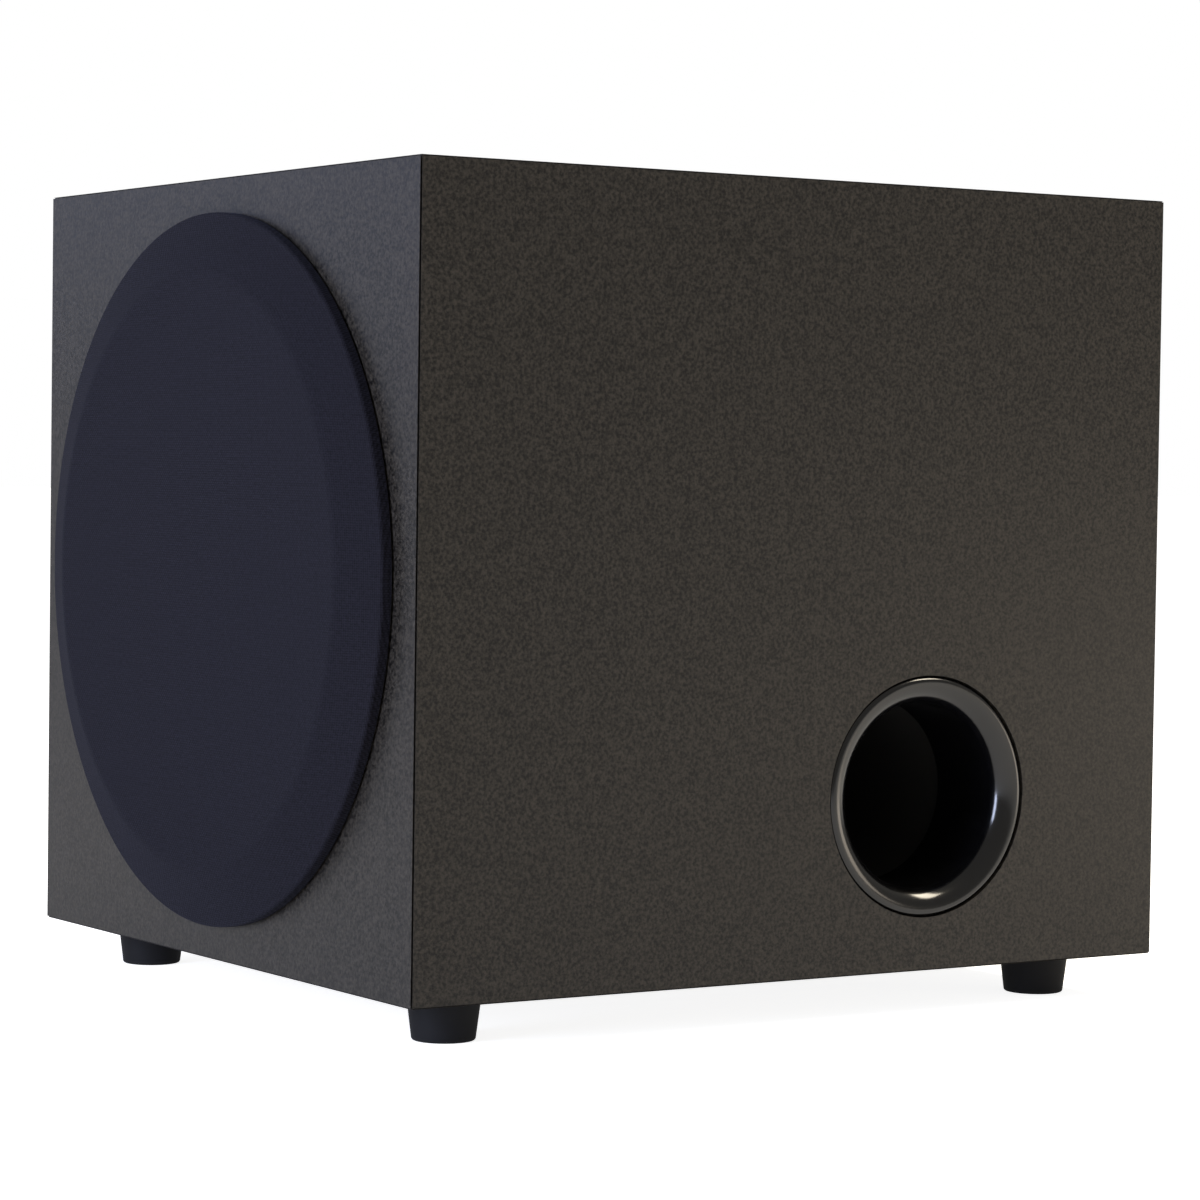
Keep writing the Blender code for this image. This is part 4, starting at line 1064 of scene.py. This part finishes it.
# %% The phono sockets
TIP = FACE + 9.5  # where the shells end
holder = block((33, 23.5, -8.1), (67, 36.5, 1.3), 0.4)
collar = [(0, 0), (4.4, 0), (4.4, 4), (0, 4)]
collars = [moved(spun(collar, 48), shift(x, JACK_ROW)) for x in JACKS]
holder = carve(holder, collars, "UNION")
keep(holder, "phono_block", textured_abs, "cabinet", ["input_jacks"], back)
for x, name, material in ((JACKS[0], "left", white_abs), (JACKS[1], "right", red_abs)):
    spot = back @ shift(x, JACK_ROW)
    shell = [(3.3, 4.05), (6.0, 4.12, 0.2), (6.0, 5.4, 0.3), (4.15, 5.4), (4.15, TIP, 0.3)]
    shell += [(3.3, TIP, 0.2)]
    keep(spun(shell, 64), f"phono_shell_{name}", nickel, "cabinet", at=spot)
    core = [(3.2, 4.1), (3.2, TIP - 0.6, 0.3), (1.6, TIP - 0.6, 0.3), (1.6, 5.6)]
    core += [(0, 5.6), (0, 4.1)]
    keep(spun(core, 48), f"phono_core_{name}", material, "cabinet", at=spot)

# %% [markdown]
# ## Phase switch and power light
#
# The phase switch is a slide switch: a steel body behind the plate, and a ribbed
# slider that the nail catches on. Grooves cut across a block make the ribs. The light
# is a 5 mm lens with a domed end, turned from an arc.

# %% Phase switch and power light
slider = block((-1.8, -1.7, -1.2), (1.8, 1.7, FACE + 3), 0.25)
grooves = [block((x - 0.25, -3, FACE + 2.3), (x + 0.25, 3, FACE + 5)) for x in (-0.9, 0, 0.9)]
spot = back @ shift(middle_of("phase_slider")[0] / MM, JACK_ROW)
slider = carve(slider, grooves)
keep(slider, "ribbed_slider", white_abs, "phase_control", ["phase_slider"], spot)
slot = block((0.8, 28, -1.5), (9.2, 32, 9))
case = carve(block((-5, 25.5, -8.1), (15, 34.5, 1.3), 0.5), [slot])
keep(case, "slide_switch_case", zinc, "cabinet", ["phase_switch"], back)
bulb = [(0, -8.1), (2.5, -8.1), (2.5, FACE - 0.4)]
for k in range(1, 8):
    turn = math.pi / 2 * k / 8
    bulb.append((2.5 * math.cos(turn), FACE - 0.4 + 2.1 * math.sin(turn)))
bulb.append((0, FACE + 1.7))
spot = back @ shift(LIGHT, KNOB_ROW)
keep(spun(bulb, 32), "power_lens", lens_blue, "cabinet", ["status_led"], spot)

# %% [markdown]
# ## Mains inlet and power switch
#
# The inlet is a deep socket with two cut corners, so that the plug only goes in one
# way, and three flat pins stand in it. The switch is a bezel round a rocker whose face
# is hollowed for a fingertip. A cylinder cuts that hollow out of a block. The rocker
# rests tilted, with one end down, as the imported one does.

# %% Mains inlet and power switch
FOOT = FACE + 0.3  # where the bezels stand, clear of the plate
socket = carve(
    block((-65, 66, FOOT), (-15, 90, FOOT + 2), 0.4, corner=3),
    [block((-53.7, 68, -17.5), (-26.3, 88, FOOT + 1))],
    "UNION",
)
recess = block((-52, 69.8, -14), (-28, 86.2, 15))
keyed = [e for e in upright(recess) if all(v.co.y < 70 * MM for v in e.verts)]
round_edges(recess, keyed, 4, segments=1)
inlet = carve(socket, [recess])
keep(inlet, "inlet_shell", textured_abs, "cabinet", ["mains_inlet"], back)
for number, (x, y) in enumerate(((-47, 80), (-40, 75.5), (-33, 80)), 1):
    pin = block((x - 1, y - 2.2, -14.2), (x + 1, y + 2.2, 1.5), 0.35)
    keep(pin, f"inlet_pin_{number}", nickel, "cabinet", at=back)

bezel = carve(
    block((22.5, 67.3, FOOT), (37.5, 88.7, FOOT + 1.4), 0.5, corner=1),
    [block((23.5, 68.3, -9), (36.5, 87.7, FOOT + 0.7))],
    "UNION",
)
bezel = carve(bezel, [block((24.4, 68.8, -7.5), (35.6, 87.2, 15), corner=0.5)])
keep(bezel, "switch_bezel", textured_abs, "cabinet", ["power_switch"], back)

rocker = block((-5.2, -8, -2.4), (5.2, 8, 4.6))
for corner in rocker.verts:
    if corner.co.z < 0:
        corner.co.y *= 3 / 8
rounder = spun([(0, -9), (23.6, -9), (23.6, 9), (0, 9)], 192)
over = Matrix.Translation((0, 0, 26.8 * MM)) @ Matrix.Rotation(math.pi / 2, 4, "Y")
rocker = carve(rocker, [moved(rounder, over)])
pivot = back @ shift(30, 78, 2.1) @ Matrix.Rotation(math.radians(10), 4, "X")
keep(rocker, "hollow_rocker", textured_abs, "power_control", ["power_rocker"], pivot)

# %% [markdown]
# ## Inside the amplifier
#
# Two smoothing capacitors stand on the circuit board, and a transformer hangs beside
# them. A capacitor's can is crimped near its foot where the rubber seal sits, so its
# outline has a groove there. The transformer is a stack of steel sheets with a taped
# winding through it, boxed in two pieces because they are two finishes.

# %% Inside the amplifier
START = -8.4 - 1.6 - 0.3  # just behind the circuit board, where the cans begin
can = [(0, START - 35), (10.2, START - 35, 0.8), (11, START - 34), (11, START - 4, 0.4)]
can += [(10.5, START - 3.2, 0.3), (11, START - 2.4, 0.4), (11, START, 0.4), (0, START)]
for number, x in enumerate((-48, -22), 1):
    spot = back @ shift(x, -18)
    made = carve(spun(can, 64), cross(6, 0.3, START - 36, START - 34.6))
    name, node = f"capacitor_can_{number}", f"capacitor_{number}"
    made = keep(made, name, sleeve, "cabinet", [node], spot)
    top = REAR + (START - 34.9) * MM
    paint(made, zinc, lambda face: face.center.y < top)
core = block((21, -95, -46.7), (49, -41, 1.3), 0.3)
core = carve(core, [block((11, -84, -38), (59, -52, -7.2))])
middle_limb = block((21.1, -76, -40), (48.9, -60, -5), 0.2)
core = carve(core, [middle_limb], "UNION")
node = "transformer"
keep(core, "transformer_core", laminations, "cabinet", [node], back)
winding = block((11.2, -83.6, -37.6), (58.8, -52.4, -7.6), 2.5)
winding = carve(winding, [block((20.6, -76.5, -60), (49.4, -59.5, 9))])
keep(winding, "transformer_winding", winding_tape, "cabinet", at=back)

# %% [markdown]
# ## Pieces that stay as packed
#
# The gaskets, the circuit board, the two potentiometers and the speaker lead are
# plain in reality too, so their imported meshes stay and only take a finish.

# %% Pieces that stay as packed
for node, material in (
    ("driver_gasket", foam),
    ("amp_gasket", foam),
    ("circuit_board", solder_mask),
    ("level_pot", nickel),
    ("crossover_pot", nickel),
    ("speaker_lead", pvc),
):
    nodes[node].data.materials.clear()
    nodes[node].data.materials.append(material)
    print(node, "in", material.name)

# %% [markdown]
# ## Floor and light
#
# The object stands on a plain pale floor in an even white studio: white all round, so
# that black surfaces show their shape by what they reflect. Floor and walls look pure
# white, while the object sees them dimmer, or it would turn grey. A large cool lamp
# lights the front from the left, a tall cool one and a warm one under the ceiling give
# the port its two highlights, and a low reflector brightens its left lip.

# %% Floor and light
FLOOR_GLOW = 0.35  # what the floor adds to the light on the object
FLOOR_WHITE = 0.88  # what it adds to its own look, so that it burns out to white
floor_paint, tree, shader = finish("lit white floor", 0.9)
shader.inputs["Emission Color"].default_value = tone("ffffff")
seen = add(tree, "LightPath", {}).outputs["Is Camera Ray"]
glow = add(tree, "MapRange", {"Value": seen, "To Min": FLOOR_GLOW, "To Max": FLOOR_WHITE})
tree.links.new(glow.outputs["Result"], shader.inputs["Emission Strength"])
grain(tree, shader, 60.0, 0.0, ("f2f2f2", "f6f6f6"))
floor_shape = bmesh.new()
bmesh.ops.create_grid(floor_shape, x_segments=1, y_segments=1, size=20)
bmesh.ops.translate(floor_shape, verts=floor_shape.verts, vec=(0, 0, -0.1 * MM))
floor = loose(floor_shape, "floor")
floor.data.materials.append(floor_paint)

scene = bpy.context.scene
scene.view_settings.view_transform = "Standard"
world = bpy.data.worlds.new("white studio")
world.use_nodes = True
tree = world.node_tree
room = tree.nodes["Background"]
room.inputs["Color"].default_value = tone("fffaf0")
room.inputs["Strength"].default_value = 0.36
backdrop = add(tree, "Background", {"Color": tone("ffffff"), "Strength": 1.0})
seen = add(tree, "LightPath", {}).outputs["Is Camera Ray"]
both = {0: seen, 1: room.outputs[0], 2: backdrop.outputs[0]}
mixed = add(tree, "MixShader", both).outputs[0]
tree.links.new(mixed, tree.nodes["World Output"].inputs["Surface"])
scene.world = world


def lamp(name, spot, aim, width, height, brightness, colour):
    """A soft rectangular lamp that faces a point, with the brightness of its face."""
    light = bpy.data.lights.new(name, "AREA")
    light.shape = "RECTANGLE"
    light.size, light.size_y = width, height
    light.energy = brightness * math.pi * width * height
    light.color = tone(colour)[:3]
    made = bpy.data.objects.new(name, light)
    scene.collection.objects.link(made)
    away = Vector(spot) - Vector(aim)
    facing = away.to_track_quat("Z", "Y").to_matrix().to_4x4()
    made.matrix_world = Matrix.Translation(spot) @ facing
    made.visible_camera = False
    print(name, "gives", round(light.energy, 1), "W from", round(away.length, 2), "m")


port_spot = (SIDE, PORT_Y, PORT_Z)
lamp("cool window", (0.36, -1.94, 0.42), port_spot, 0.65, 1.0, 22, "d5e0ff")
lamp("warm ceiling lamp", (0.40, 0.98, 1.23), port_spot, 1.0, 0.34, 20, "fff3dc")
lamp("cool softbox", (-2.1, -1.36, 1.0), (0, 0, 0.2), 1.6, 1.2, 1.8, "c0d0ff")
lamp("warm reflector", (0.61, 0.67, 0.08), port_spot, 0.26, 0.15, 4.2, "fff0dc")
